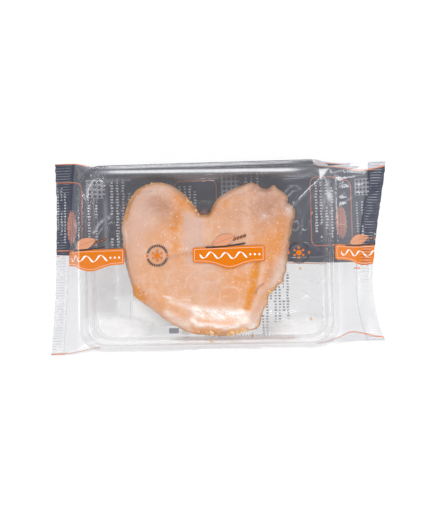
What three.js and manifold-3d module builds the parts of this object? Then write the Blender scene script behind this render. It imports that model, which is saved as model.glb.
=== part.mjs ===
// A glazed palmier in a clear tray, sealed in a film flow pack: one solid out to the film's outer
// face. Millimetres, +Z up, +X along the pack, +Y towards the dark printed edge. The origin is the
// middle of the tray's foot, on the level that the pack stands on.
//
// The body is a stack of closed loops with the same number of points. They run from the crown of the
// palmier, under its clinging film, out over the tray's rim, down to the line of the two end seals
// and back in under the foot. The crimped end seals and the lap seal under the pack are joined on.
import * as THREE from "three";
import { mergeVertices } from "three/addons/utils/BufferGeometryUtils.js";
import Module from "manifold-3d";

const wasm = await Module();
wasm.setup();

// The tray as wrapped: the film's outer face over its rim and under its foot.
const RIM = { length: 181, width: 130.5, corner: 17, height: 20.5 };
const RIM_LIP = 3;
const RIM_ROUND = 0.8;
const FOOT = { length: 164, width: 115, corner: 12 };
const FOOT_ROUND = 1.2;
const FOOT_BAND = 9;
const BASE_RISE = 0.6;
const SIDE_BOW = 0.9;

// The film on top: it dips inside the rim and clings to the palmier.
const FILM_DIP = 0.5;
const CLING = 1.2;
const CLING_BAND = 4;
const CROWN = 0.6;
const CURLS = [
  { x: -28, y: 20, radius: 17, lift: 0.5 },
  { x: 29, y: 18, radius: 17, lift: 0.4 },
];

// The film's slopes down to the end seals.
const PLEATS = 7;
const PLEAT_ABOVE = 0.7;
const PLEAT_BELOW = 0.25;

// The end seals. t runs from -1 at the front corner (-Y) to 1 at the back corner (+Y).
const SEAL_LEVEL = 8.5;
const SEAL_THICKNESS = 0.8;
const SEAL_OVERLAP = 3;
const CRIMP_PITCH = 2.4;
const CRIMP_DEPTH = 0.35;
const SEALS = {
  left: {
    front: -67.6,
    back: 69.2,
    inner: (t) => -99.8 + 4.4 * t,
    outer: (t) => -109.4 + 1.9 * t - 1.6 * t * t,
    droop: 2.5,
    wave: 0.4,
  },
  right: {
    front: -60.6,
    back: 63.8,
    inner: (t) => 104.8 + 7.5 * t + 7.1 * t * t - 5.6 * t ** 3,
    outer: (t) => 116.4 + 7.5 * t + 7.1 * t * t - 5.6 * t ** 3,
    droop: 4.0,
    wave: 1.1,
  },
};

// The lap seal lies flat under the pack, level with the foot, and runs from end seal to end seal.
const LAP = { front: -2, back: 10, bury: 0.45 };

// The palmier's top outline under the film, from the notch over the left curl and round.
const PALMIER_MIDDLE = new THREE.Vector2(0.5, -1);
const PALMIER_OUTLINE = [
  [-1, 29], [-8.5, 34], [-16.5, 42.5], [-29, 47.5], [-43.5, 46],
  [-53, 37.5], [-56.5, 20], [-54.5, -2], [-49, -20.5], [-37.5, -33],
  [-20.5, -46], [-3, -51], [14, -50.5], [28.5, -46.5], [34, -36],
  [43.5, -22], [51, -4], [55, 15], [56.5, 30], [50, 39.5],
  [42, 44], [29, 45.5], [15.5, 41.5], [6, 34.5],
];

// Steps of one loop along each end and each side, and where its corners start.
const END_STEPS = 30;
const SIDE_STEPS = 30;
const CORNER_FROM = 0.8;

// A manifold solid from a BufferGeometry.
function solid(geometry) {
  const merged = mergeVertices(geometry, 1e-4);
  return new wasm.Manifold(new wasm.Mesh({
    numProp: 3,
    vertProperties: new Float32Array(merged.attributes.position.array),
    triVerts: new Uint32Array(merged.index.array),
  }));
}

// A BufferGeometry from a manifold solid.
function geometryOf(manifold) {
  const mesh = manifold.getMesh();
  const geometry = new THREE.BufferGeometry();
  geometry.setAttribute("position", new THREE.BufferAttribute(mesh.vertProperties, 3));
  geometry.setIndex(new THREE.BufferAttribute(mesh.triVerts, 1));
  geometry.computeVertexNormals();
  return geometry;
}

// Faces between closed loops of the same length, with a fan to a point at either end.
function skin(first, loops, last) {
  const count = loops[0].length;
  const vertices = [first, ...loops.flat(), last];
  const at = (loop, k) => 1 + loop * count + (k % count);
  const index = [];
  for (let k = 0; k < count; k++) {
    index.push(0, at(0, k), at(0, k + 1));
    for (let loop = 0; loop + 1 < loops.length; loop++) {
      index.push(at(loop, k), at(loop + 1, k), at(loop, k + 1));
      index.push(at(loop, k + 1), at(loop + 1, k), at(loop + 1, k + 1));
    }
    index.push(vertices.length - 1, at(loops.length - 1, k + 1), at(loops.length - 1, k));
  }
  const geometry = new THREE.BufferGeometry().setFromPoints(vertices);
  geometry.setIndex(index);
  return geometry;
}

// The stations of every loop, anticlockwise from above: side 0 is the right end, side 1 the back,
// side 2 the left end and side 3 the front. s runs from -1 to 1 along each.
function stations() {
  const list = [];
  for (let side = 0; side < 4; side++) {
    const steps = side % 2 === 0 ? END_STEPS : SIDE_STEPS;
    for (let k = 0; k < steps; k++) list.push({ side, s: (2 * k) / steps - 1 });
  }
  return list;
}

// How far a station is round its corner: 0 on the straight, 1 at the corner's middle.
const cornerShare = (s) => Math.max((Math.abs(s) - CORNER_FROM) / (1 - CORNER_FROM), 0);

// A station's place on a rounded rectangle.
function onRectangle({ length, width, corner }, { side, s }, z, inset = 0) {
  const [halfX, halfY] = [length / 2 - inset, width / 2 - inset];
  const radius = Math.max(corner - inset, 2);
  const [reach, span] = side % 2 === 0 ? [halfX, halfY] : [halfY, halfX];
  const turn = (Math.PI / 4) * cornerShare(s);
  const straight = (span - radius) * Math.min(Math.abs(s) / CORNER_FROM, 1);
  const along = Math.sign(s) * (straight + radius * Math.sin(turn));
  const out = reach - radius + radius * Math.cos(turn);
  const angle = (side * Math.PI) / 2;
  const x = Math.cos(angle) * out - Math.sin(angle) * along;
  const y = Math.sin(angle) * out + Math.cos(angle) * along;
  return new THREE.Vector3(x, y, z);
}

// A point of a seal's middle plane: share 0 is its inner line and share 1 its outer edge.
function onSeal(seal, t, share) {
  const x = THREE.MathUtils.lerp(seal.inner(t), seal.outer(t), share);
  const y = THREE.MathUtils.lerp(seal.front, seal.back, (t + 1) / 2);
  const wave = seal.wave * Math.sin(7 * t + 1) * (0.4 + share);
  return new THREE.Vector3(x, y, SEAL_LEVEL + wave - seal.droop * (1 - t * t) * Math.max(share, 0));
}

// A station's place on the body's widest loop: the seal's inner line at the ends, and halfway down
// the film along the sides, which run out to the seals' corners.
function onEquator({ side, s }) {
  if (side === 0) return onSeal(SEALS.right, s, 0);
  if (side === 2) return onSeal(SEALS.left, -s, 0);
  const back = side === 1;
  const rightwards = back ? s < 0 : s > 0;
  const corner = onSeal(rightwards ? SEALS.right : SEALS.left, back ? 1 : -1, 0);
  const halfWidth = (RIM.width + FOOT.width) / 4 + SIDE_BOW;
  const foot = onRectangle(RIM, { side, s: Math.sign(s) * Math.min(Math.abs(s), CORNER_FROM) }, 0);
  const middle = new THREE.Vector3(foot.x, back ? halfWidth : -halfWidth, RIM.height / 2);
  const share = cornerShare(s);
  const eased = THREE.MathUtils.smoothstep(share, 0, 1);
  return new THREE.Vector3(
    THREE.MathUtils.lerp(middle.x, corner.x, share),
    THREE.MathUtils.lerp(middle.y, corner.y, Math.sin((Math.PI / 2) * share)),
    THREE.MathUtils.lerp(middle.z, corner.z, eased),
  );
}

// The distance from the palmier's middle to its outline on the way to a point.
function palmierReach(target) {
  const way = new THREE.Vector2(target.x, target.y).sub(PALMIER_MIDDLE).normalize();
  let reach = 0;
  for (let k = 0; k < outline.length; k++) {
    const from = outline[k].clone().sub(PALMIER_MIDDLE);
    const edge = outline[(k + 1) % outline.length].clone().sub(outline[k]);
    const cross = way.cross(edge);
    const along = from.cross(edge) / cross;
    const share = from.cross(way) / cross;
    if (along > 0 && share >= 0 && share <= 1) reach = Math.max(reach, along);
  }
  return reach;
}

// The outline as a smooth closed curve.
const outline = new THREE.CatmullRomCurve3(
  PALMIER_OUTLINE.map(([x, y]) => new THREE.Vector3(x, y, 0)), true,
).getPoints(120).slice(0, 120).map((p) => new THREE.Vector2(p.x, p.y));

// The film's height over the palmier: share 0 is its middle and share 1 its outline.
function crownHeight(x, y, share) {
  let z = RIM.height + CLING * (1 - 0.35 * share ** 8) + CROWN * (1 - share * share);
  for (const curl of CURLS) {
    const away = Math.hypot(x - curl.x, y - curl.y) / curl.radius;
    z += curl.lift * Math.exp(-away * away) * (1 - share ** 4);
  }
  return z;
}

// The loops on top, from the palmier's middle out to the rim's lip.
function topLoops(walk) {
  const loops = [];
  const lip = walk.map((station) => onRectangle(RIM, station, RIM.height, RIM_LIP));
  const reaches = lip.map(palmierReach);
  const place = (k, away, z) => {
    const way = new THREE.Vector2(lip[k].x, lip[k].y).sub(PALMIER_MIDDLE).normalize();
    return new THREE.Vector3(PALMIER_MIDDLE.x + way.x * away, PALMIER_MIDDLE.y + way.y * away, z);
  };
  for (const share of [0.3, 0.55, 0.78, 0.93, 1]) {
    loops.push(lip.map((_, k) => {
      const p = place(k, reaches[k] * share, 0);
      p.z = crownHeight(p.x, p.y, share);
      return p;
    }));
  }
  const band = lip.map((_, k) => place(k, reaches[k] + CLING_BAND, RIM.height - FILM_DIP / 2));
  loops.push(band);
  loops.push(lip.map((p, k) => band[k].clone().lerp(p, 0.5).setZ(RIM.height - FILM_DIP)));
  loops.push(lip);
  return loops;
}

// The two loops between a pair of edges, pleated at the ends, leaving both edges out.
function slopeLoops(walk, from, to, height) {
  return [0.35, 0.7].map((share) => walk.map(({ side, s }, k) => {
    const p = from[k].clone().lerp(to[k], share);
    if (side % 2 === 1) return p;
    const ease = Math.sin(Math.PI * share) * (1 - s ** 8);
    p.z += height * ease * Math.cos(Math.PI * PLEATS * s + side);
    return p;
  }));
}

// The wrapped tray and palmier, without the seals.
function body() {
  const walk = stations();
  const rectangle = (section, z, inset) => walk.map((at) => onRectangle(section, at, z, inset));
  const top = topLoops(walk);
  const rim = rectangle(RIM, RIM.height - RIM_ROUND, 0);
  const equator = walk.map(onEquator);
  const foot = rectangle(FOOT, FOOT_ROUND, 0);
  const loops = [
    ...top,
    rectangle(RIM, RIM.height, RIM_ROUND),
    rim,
    ...slopeLoops(walk, rim, equator, PLEAT_ABOVE),
    equator,
    ...slopeLoops(walk, equator, foot, PLEAT_BELOW),
    foot,
    rectangle(FOOT, 0, FOOT_ROUND),
    rectangle(FOOT, 0, FOOT_BAND),
    rectangle(FOOT, BASE_RISE, FOOT_BAND + 8),
    rectangle(FOOT, BASE_RISE, FOOT_BAND + 30),
  ];
  const crown = new THREE.Vector3(PALMIER_MIDDLE.x, PALMIER_MIDDLE.y, 0);
  crown.z = crownHeight(crown.x, crown.y, 0);
  return skin(crown, loops, new THREE.Vector3(0, 0, BASE_RISE));
}

// One crimped end seal: a ridged strip that thins to an inner edge buried in the body.
function endSeal(seal) {
  const ridges = Math.round((seal.back - seal.front) / CRIMP_PITCH);
  const lead = -SEAL_OVERLAP / Math.abs(seal.outer(0) - seal.inner(0));
  const section = (t, lift) => {
    const across = [lead, 0.2, 1].map((share) => {
      const full = share > 0 ? 1 : 0.2;
      return { point: onSeal(seal, t, share), lift: lift * full, half: (SEAL_THICKNESS / 2) * full };
    });
    const under = across.map((a) => a.point.clone().setZ(a.point.z + a.lift - a.half));
    const over = across.map((a) => a.point.clone().setZ(a.point.z + a.lift + a.half));
    const ring = [...under, ...over.reverse()];
    return seal.outer(0) > seal.inner(0) ? ring : ring.reverse();
  };
  const loops = [];
  for (let k = 0; k <= 2 * ridges; k++) {
    loops.push(section(k / ridges - 1, k % 2 === 0 ? -CRIMP_DEPTH : CRIMP_DEPTH));
  }
  const middle = (loop) => loop.reduce((sum, p) => sum.add(p), new THREE.Vector3())
    .divideScalar(loop.length);
  return skin(middle(loops[0]), loops, middle(loops[loops.length - 1]));
}

// The lap seal: a flat strip along the underside, rising with the film to both end seals.
function lapSeal() {
  const middle = (LAP.front + LAP.back) / 2;
  const t = (seal) => (2 * (middle - seal.front)) / (seal.back - seal.front) - 1;
  const left = onSeal(SEALS.left, t(SEALS.left), 0);
  const right = onSeal(SEALS.right, t(SEALS.right), 0);
  const path = [
    [left.x + 2, left.z - BASE_RISE],
    [-FOOT.length / 2, BASE_RISE],
    [-FOOT.length / 2 + FOOT_BAND, BASE_RISE],
    [FOOT.length / 2 - FOOT_BAND, BASE_RISE],
    [FOOT.length / 2, BASE_RISE],
    [right.x - 2, right.z - BASE_RISE],
  ];
  const loops = path.map(([x, z]) => [
    new THREE.Vector3(x, LAP.back, z - BASE_RISE),
    new THREE.Vector3(x, LAP.front, z - BASE_RISE),
    new THREE.Vector3(x, LAP.front, z + LAP.bury),
    new THREE.Vector3(x, LAP.back, z + LAP.bury),
  ]);
  const centre = (loop) => loop[0].clone().lerp(loop[2], 0.5);
  return skin(centre(loops[0]), loops, centre(loops[loops.length - 1]));
}

const film = new THREE.MeshStandardMaterial({ name: "film", color: 0xdfe2e6, roughness: 0.2 });

// The whole pack as one mesh.
function flowPack() {
  let pack = solid(body());
  for (const seal of [SEALS.left, SEALS.right]) pack = pack.add(solid(endSeal(seal)));
  pack = pack.add(solid(lapSeal()));
  const mesh = new THREE.Mesh(geometryOf(pack), film);
  mesh.name = "flow_pack";
  return mesh;
}

const group = new THREE.Group();
group.name = "palmier_pack";
group.add(flowPack());

export default group;
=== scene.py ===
"""A glazed palmier in a clear tray, sealed in a printed clear flow pack.

Shape functions work in millimetres and meshes are stored in metres. +X runs along the pack, +Y
towards the dark printed edge and +Z up; the origin is the middle of the tray's foot.
"""

import bpy
import numpy as np
from bpy.props import FloatProperty, FloatVectorProperty, PointerProperty
from bpy.types import Operator, Panel, PropertyGroup
from mathutils import Euler, Matrix, Vector


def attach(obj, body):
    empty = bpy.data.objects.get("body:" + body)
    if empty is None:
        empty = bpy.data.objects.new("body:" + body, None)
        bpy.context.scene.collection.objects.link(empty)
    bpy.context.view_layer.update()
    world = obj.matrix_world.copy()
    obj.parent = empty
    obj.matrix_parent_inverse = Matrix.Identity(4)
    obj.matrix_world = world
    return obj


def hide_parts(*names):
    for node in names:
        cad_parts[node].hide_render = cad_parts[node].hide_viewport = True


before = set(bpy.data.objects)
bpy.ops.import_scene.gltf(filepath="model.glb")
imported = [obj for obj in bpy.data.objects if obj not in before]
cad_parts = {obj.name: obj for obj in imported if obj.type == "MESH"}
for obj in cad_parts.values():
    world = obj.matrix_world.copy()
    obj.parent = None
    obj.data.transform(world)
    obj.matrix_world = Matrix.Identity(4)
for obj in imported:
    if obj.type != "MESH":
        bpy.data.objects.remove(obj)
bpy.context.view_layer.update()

bl_info = {
    "name": "Wrapped Palmier",
    "version": (1, 0, 0),
    "blender": (4, 5, 0),
    "location": "View3D > Sidebar > Palmier",
    "description": "Builds a glazed palmier in a clear tray and a printed flow pack",
    "category": "Add Mesh",
}

MM = 0.001
BODY = "root"
NODE = "flow_pack"

# The film's outer face over the tray's rim, under its foot and on its sides.
RIM_CORNER, RIM_LIP, RIM_ROUND = 17, 3, 0.8
FOOT_LENGTH, FOOT_WIDTH, FOOT_CORNER, FOOT_ROUND = 164, 115, 12, 1.2
BASE_RISE, SIDE_BOW = 0.25, 0.9
# Its rise at the cling line, the crown's further rise and the dip between cling line and rim.
CLING, CROWN, FILM_DIP = 1.2, 0.6, 0.5
# The end slopes start at this x, and run this much longer than they look at left and right.
SLOPE_FROM, LEFT_STEEP, RIGHT_STEEP = 90, 1.8, 1.3
# The print runs on by this much for each half of a side wall.
WALL_RUN = 6.2
# Stations along each end and each side of a loop.
FILM_STEPS, TRAY_STEPS = (150, 170), (120, 150)
# Arcs start at this share of the way from a side's middle to its corner.
CORNER_FROM = 0.8

# The end seals. t runs from -1 at the front corner to 1 at the back corner.
SEAL_LEVEL = 8.5
CRIMP_PITCH = 1.9
SEALS = {
    "left": {
        "front": -67.6,
        "back": 69.2,
        "inner": lambda t: -99.8 + 4.4 * t,
        "outer": lambda t: -109.4 + 1.9 * t - 1.6 * t * t,
        "droop": 2.5,
        "wave": 0.4,
        "band": 0.98,
        "torn": 0.0,
    },
    "right": {
        "front": -60.6,
        "back": 63.8,
        "inner": lambda t: 104.8 + 7.5 * t + 7.1 * t * t - 5.6 * t**3,
        "outer": lambda t: 116.4 + 7.5 * t + 7.1 * t * t - 5.6 * t**3,
        "droop": 4.0,
        "wave": 1.1,
        "band": 0.78,
        "torn": 1.0,
    },
}
LAP_FRONT, LAP_BACK = -2, 10

# The line that the film's top clings to, from the notch over the left curl and round.
MIDDLE = np.array([0.5, -1.0])
CLING_LINE = [
    (-1, 29), (-8.5, 34), (-16.5, 42.5), (-29, 47.5), (-43.5, 46), (-53, 37.5), (-56.5, 20),
    (-54.5, -2), (-49, -20.5), (-37.5, -33), (-20.5, -46), (-3, -51), (14, -50.5), (28.5, -46.5),
    (34, -36), (43.5, -22), (51, -4), (55, 15), (56.5, 30), (50, 39.5), (42, 44), (29, 45.5),
    (15.5, 41.5), (6, 34.5),
]
# The palmier's widest outline, the same way round.
PALMIER_LINE = [
    (-1.5, 29.2), (-4.9, 29.5), (-8.3, 34.8), (-12.5, 40.3), (-17.7, 45.5), (-23.7, 49.9),
    (-30.1, 52.2), (-36.8, 52.7), (-43.9, 50.5), (-49.4, 47.4), (-53.8, 40.8), (-57, 33.8),
    (-59.7, 23.9), (-60.2, 19.6), (-59, 13), (-59, 5.4), (-57.4, -2.4), (-55.3, -11.6),
    (-52.8, -19.8), (-52.2, -25), (-49.4, -28.4), (-45.1, -31.6), (-38.2, -36.6), (-32.9, -40.9),
    (-25.2, -46.3), (-19.2, -49.5), (-14.1, -52.1), (-8.9, -53.6), (3.2, -54.5), (11.8, -54.6),
    (20.1, -53.5), (25.5, -51.8), (31.6, -50.8), (35.1, -47.3), (36.4, -41.4), (39.7, -34.5),
    (42, -27), (45.8, -23.6), (48.2, -20.8), (51.6, -18), (53, -12.6), (54.8, -5.6), (55.6, 0.3),
    (56.6, 5.5), (57, 10), (58.4, 16.6), (60.3, 24.3), (60.9, 31), (59, 34.6), (56.4, 36),
    (55.9, 40.9), (51.6, 44.5), (47.5, 48.7), (44.2, 46.6), (40.4, 46.8), (36.3, 49.3),
    (31.2, 50.7), (25.1, 48.8), (19, 46.5), (13.7, 43.8), (9.3, 41.4), (5.8, 37.9), (3.7, 32.8),
    (1.6, 29.4),
]
# Its sole's height, the round of its foot and the sole's swell.
PALMIER_FOOT, PALMIER_HEEL, SOLE_SWELL = 2.5, 1.6, 0.35
# The dough's top lies this far under the film, and the glaze's underside this far in the dough.
DOUGH_UNDER_FILM, GLAZE_TUCK = 1.45, 0.12
OUTLINE_COUNT = 720
# A distance to the edge that is past every roll-off.
FAR_INSIDE = 30.0


def srgb(red, green, blue):
    """Turns 0-255 display values into scene-linear ones."""
    c = np.array([red, green, blue]) / 255
    return tuple(float(v) for v in np.where(c < 0.04045, c / 12.92, ((c + 0.055) / 1.055) ** 2.4))


# ---------------------------------------------------------------- functions over whole arrays


def ease(x, low, high):
    """0 below low, 1 above high, and three t squared less two t cubed between."""
    t = np.clip((x - low) / (high - low), 0, 1)
    return t * t * (3 - 2 * t)


def noise(x, y, seed=0):
    """Value noise from -1 to 1: a hash at each whole-number corner, blended with a quintic."""
    x, y = np.broadcast_arrays(np.asarray(x, float), np.asarray(y, float))
    i, j = np.floor(x).astype(np.int64), np.floor(y).astype(np.int64)
    f, g = x - i, y - j
    f, g = (u**3 * (u * (6 * u - 15) + 10) for u in (f, g))

    def corner(a, b):
        h = (a * 374761393 + b * 668265263 + seed * 974634777) & 0xFFFFFFFF
        h = ((h ^ (h >> 13)) * 1274126177) & 0xFFFFFFFF
        return ((h ^ (h >> 16)) & 0xFFFF) / 32767.5 - 1

    low = corner(i, j) * (1 - f) + corner(i + 1, j) * f
    high = corner(i, j + 1) * (1 - f) + corner(i + 1, j + 1) * f
    return low * (1 - g) + high * g


def cloud(x, y, size, seed=0, octaves=3):
    """Noise features about size across, plus octaves of half the size and half the height."""
    total = sum(noise(x / size * 2**k, y / size * 2**k, seed + k) / 2**k for k in range(octaves))
    return total / (2 - 0.5 ** (octaves - 1))


def closed_curve(points, count):
    """A closed Catmull-Rom spline through the points, at count places evenly spaced along it."""
    p = np.array(points, float)
    n = len(p)
    t = np.linspace(0, n, 24 * n, endpoint=False)
    k = np.floor(t).astype(int)
    f = (t - k)[:, None]
    a, b, c, d = p[(k - 1) % n], p[k % n], p[(k + 1) % n], p[(k + 2) % n]
    curve = b + 0.5 * f * (c - a + f * (2 * a - 5 * b + 4 * c - d + f * (3 * (b - c) + d - a)))
    ring = np.vstack([curve, curve[:1]])
    run = np.concatenate([[0], np.cumsum(np.hypot(*np.diff(ring, axis=0).T))])
    at = np.linspace(0, run[-1], count, endpoint=False)
    return np.stack([np.interp(at, run, ring[:, 0]), np.interp(at, run, ring[:, 1])], 1)


def outward(curve):
    """The unit normal of a closed anticlockwise curve, to its outside."""
    along = np.roll(curve, -1, 0) - np.roll(curve, 1, 0)
    along /= np.linalg.norm(along, axis=1, keepdims=True)
    return np.stack([along[:, 1], -along[:, 0]], 1)


def distance(x, y, path, closed=False):
    """The distance from every place to a path of straight stretches."""
    path = np.array(path, float)
    ends = np.roll(path, -1, 0) if closed else path[1:]
    best = np.full(np.shape(x), np.inf)
    for (ax, ay), (bx, by) in zip(path, ends):
        dx, dy = bx - ax, by - ay
        t = np.clip(((x - ax) * dx + (y - ay) * dy) / (dx * dx + dy * dy), 0, 1)
        best = np.minimum(best, np.hypot(x - ax - t * dx, y - ay - t * dy))
    return best


def stroke(x, y, width, *path):
    """1 on a path, falling off beside it as the exponential of minus (distance / width) squared."""
    return np.exp(-((distance(x, y, path) / width) ** 2))


def blot(x, y, cx, cy, rx, ry, turn=0.0):
    """1 at a centre, falling off as the exponential of minus the squared elliptic distance."""
    c, s = np.cos(np.radians(turn)), np.sin(np.radians(turn))
    u, v = (x - cx) * c + (y - cy) * s, (y - cy) * c - (x - cx) * s
    return np.exp(-((u / rx) ** 2) - (v / ry) ** 2)


def patch(x, y, soft, *corners):
    """1 inside an anticlockwise convex outline and 0 outside it: the least distance to a side."""
    inside = np.full(np.shape(x), np.inf)
    for (ax, ay), (bx, by) in zip(corners, corners[1:] + corners[:1]):
        dx, dy = bx - ax, by - ay
        inside = np.minimum(inside, (dx * (y - ay) - dy * (x - ax)) / np.hypot(dx, dy))
    return ease(inside, -soft, soft)

def window(v, start, full, fading, gone):
    """Rises from 0 at start to 1 at full, and falls from 1 at fading to 0 at gone."""
    return ease(v, start, full) * (1 - ease(v, fading, gone))


def marks(x, y, table):
    """Adds up blots and strokes: a row is its strength and then what blot or stroke asks for."""
    total = np.zeros(np.shape(x))
    for strength, *mark in table:
        form = stroke if isinstance(mark[-1], tuple) else blot
        total = total + strength * form(x, y, *mark)
    return total


# ---------------------------------------------------------------- meshes


def new_object(name, points, faces):
    """Links an object with a smooth mesh, whose points are in millimetres."""
    mesh = bpy.data.meshes.new(name)
    mesh.from_pydata((points * MM).tolist(), [], faces)
    mesh.polygons.foreach_set("use_smooth", np.ones(len(faces), bool))
    mesh.update()
    thing = bpy.data.objects.new(name, mesh)
    bpy.context.scene.collection.objects.link(thing)
    return thing


def shell(name, loops, places, first, last=None, parts=None, sharp=None):
    """Joins closed loops of one count into faces, with a fan to a point at the first and last.

    loops is rows x columns x 3 in millimetres; places maps an attribute's name to values of the
    same shape, and parts gives each face of the rows its material's number.
    """
    rows, columns = loops.shape[:2]
    grid = 1 + np.arange(rows * columns).reshape(rows, columns)
    after = np.roll(grid, -1, 1)
    quads = np.stack([grid[:-1], grid[1:], after[1:], after[:-1]], -1).reshape(-1, 4)
    parts = np.zeros((rows - 1, columns), int) if parts is None else parts
    points = [np.array([first], float), loops.reshape(-1, 3)]
    faces = quads.tolist() + np.stack([0 * grid[0], grid[0], after[0]], 1).tolist()
    material = parts.ravel().tolist() + parts[0].tolist()
    if last is not None:
        points.append(np.array([last], float))
        tip = np.full(columns, 1 + rows * columns)
        faces += np.stack([tip, after[-1], grid[-1]], 1).tolist()
        material += parts[-1].tolist()
    thing = new_object(name, np.vstack(points), faces)
    mesh = thing.data
    mesh.polygons.foreach_set("material_index", material)
    for key, values in places.items():
        stack = [values[0].mean(0, keepdims=True), values.reshape(-1, 3)]
        if last is not None:
            stack.append(values[-1].mean(0, keepdims=True))
        layer = mesh.attributes.new(key, "FLOAT_VECTOR", "POINT")
        layer.data.foreach_set("vector", np.vstack(stack).astype(np.float32).ravel())
    if sharp is not None:
        mesh.set_sharp_from_angle(angle=np.radians(sharp))
    mesh.update()
    return thing


def finish_piece(piece, materials):
    """Gives a piece its materials, and lets it stand for the pack's solid."""
    for material in materials:
        piece.data.materials.append(material)
    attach(piece, BODY)
    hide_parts(NODE)


def stations(end_steps, side_steps):
    """Side numbers and s from -1 to 1 along each: right end, back, left end, front."""
    steps = [end_steps, side_steps, end_steps, side_steps]
    side = np.repeat(np.arange(4), steps)
    s = np.concatenate([2 * np.arange(n) / n - 1 for n in steps])
    return side, s


def corner_share(s):
    """The share of a corner's arc that is behind a station: 0 up to CORNER_FROM."""
    return np.clip((np.abs(s) - CORNER_FROM) / (1 - CORNER_FROM), 0, 1)


def rounded_rectangle(length, width, corner, side, s):
    """Stations on a rounded rectangle: straight up to CORNER_FROM, then an arc to the diagonal."""
    end = side % 2 == 0
    reach, span = np.where(end, length, width) / 2, np.where(end, width, length) / 2
    turn = np.pi / 4 * corner_share(s)
    straight = (span - corner) * np.minimum(np.abs(s) / CORNER_FROM, 1)
    along = np.sign(s) * (straight + corner * np.sin(turn))
    out = reach - corner + corner * np.cos(turn)
    angle = side * np.pi / 2
    return np.cos(angle) * out - np.sin(angle) * along, np.sin(angle) * out + np.cos(angle) * along


def on_seal(seal, t, share):
    """A point of a seal's middle plane: share 0 is its inner line and share 1 its outer edge."""
    x = seal["inner"](t) * (1 - share) + seal["outer"](t) * share
    y = seal["front"] + (seal["back"] - seal["front"]) * (t + 1) / 2
    wave = seal["wave"] * np.sin(7 * t + 1) * (0.4 + share)
    z = SEAL_LEVEL + wave - seal["droop"] * (1 - t * t) * np.maximum(share, 0)
    return np.stack(np.broadcast_arrays(x, y, z), -1)


def front_run(x):
    """Distance along the film's top from the middle: the end slopes are longer than they look."""
    beyond = np.maximum(np.abs(x) - SLOPE_FROM, 0)
    steep = np.where(x < 0, LEFT_STEEP, RIGHT_STEEP)
    return np.sign(x) * (np.minimum(np.abs(x), SLOPE_FROM) + steep * beyond)


def print_spot(x, y):
    """Where a place of the film under the pack lies in the flat print.

    Beyond the tray the film runs steeply and is gathered: along the pack by a third, and across
    it by a tenth towards the narrower right seal.
    """
    along = x + 0.35 * (np.maximum(x - 95, 0) - np.maximum(-90 - x, 0))
    return along, y * (1 + 0.1 * ease(x, 84, 106))


# Where the print ends at the two long edges, as y at some places along the pack.
BACK_FOLD = [
    (-112, 69.0), (-84, 69.2), (-78, 90), (70, 90), (76, 69), (80, 66.4), (87, 64.3),
    (94, 62.1), (101, 60.1), (107.7, 58.5), (114.7, 58.6), (121.6, 60.2), (128, 61.6),
]
FRONT_FOLD = [
    (-112, -66.7), (-92, -66.3), (-84, -64.9), (-78, -65.3), (-72, -90), (66, -90), (74, -67.5),
    (84, -62), (97, -54.6), (101, -54.2), (108, -55.5), (114.7, -57.4), (125, -58.6),
]


def fold_lines(x, y):
    """How far inside the printed field's two long edges a place is, back first."""
    back = np.interp(x, *zip(*BACK_FOLD)) - y
    front = y - np.interp(x, *zip(*FRONT_FOLD))
    return back, front


def cling_share(x, y):
    """The share of the way from the palmier's middle to the cling line."""
    line = closed_curve(CLING_LINE, 480) - MIDDLE
    angle = np.arctan2(line[:, 1], line[:, 0])
    order = np.argsort(angle)
    reach = np.interp(np.arctan2(y - MIDDLE[1], x - MIDDLE[0]), angle[order],
                      np.hypot(*line.T)[order], period=2 * np.pi)
    return np.hypot(x - MIDDLE[0], y - MIDDLE[1]) / reach


def film_over_palmier(x, y, share, rim_height):
    """The film's height over the palmier, as in the solid: a low crown with two curls."""
    share = np.minimum(share, 1)
    curls = 0.5 * blot(x, y, -28, 20, 17, 17) + 0.4 * blot(x, y, 29, 18, 17, 17)
    crown = CLING * (1 - 0.35 * share**8) + CROWN * (1 - share**2)
    return rim_height + crown + curls * (1 - share**4)
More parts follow.
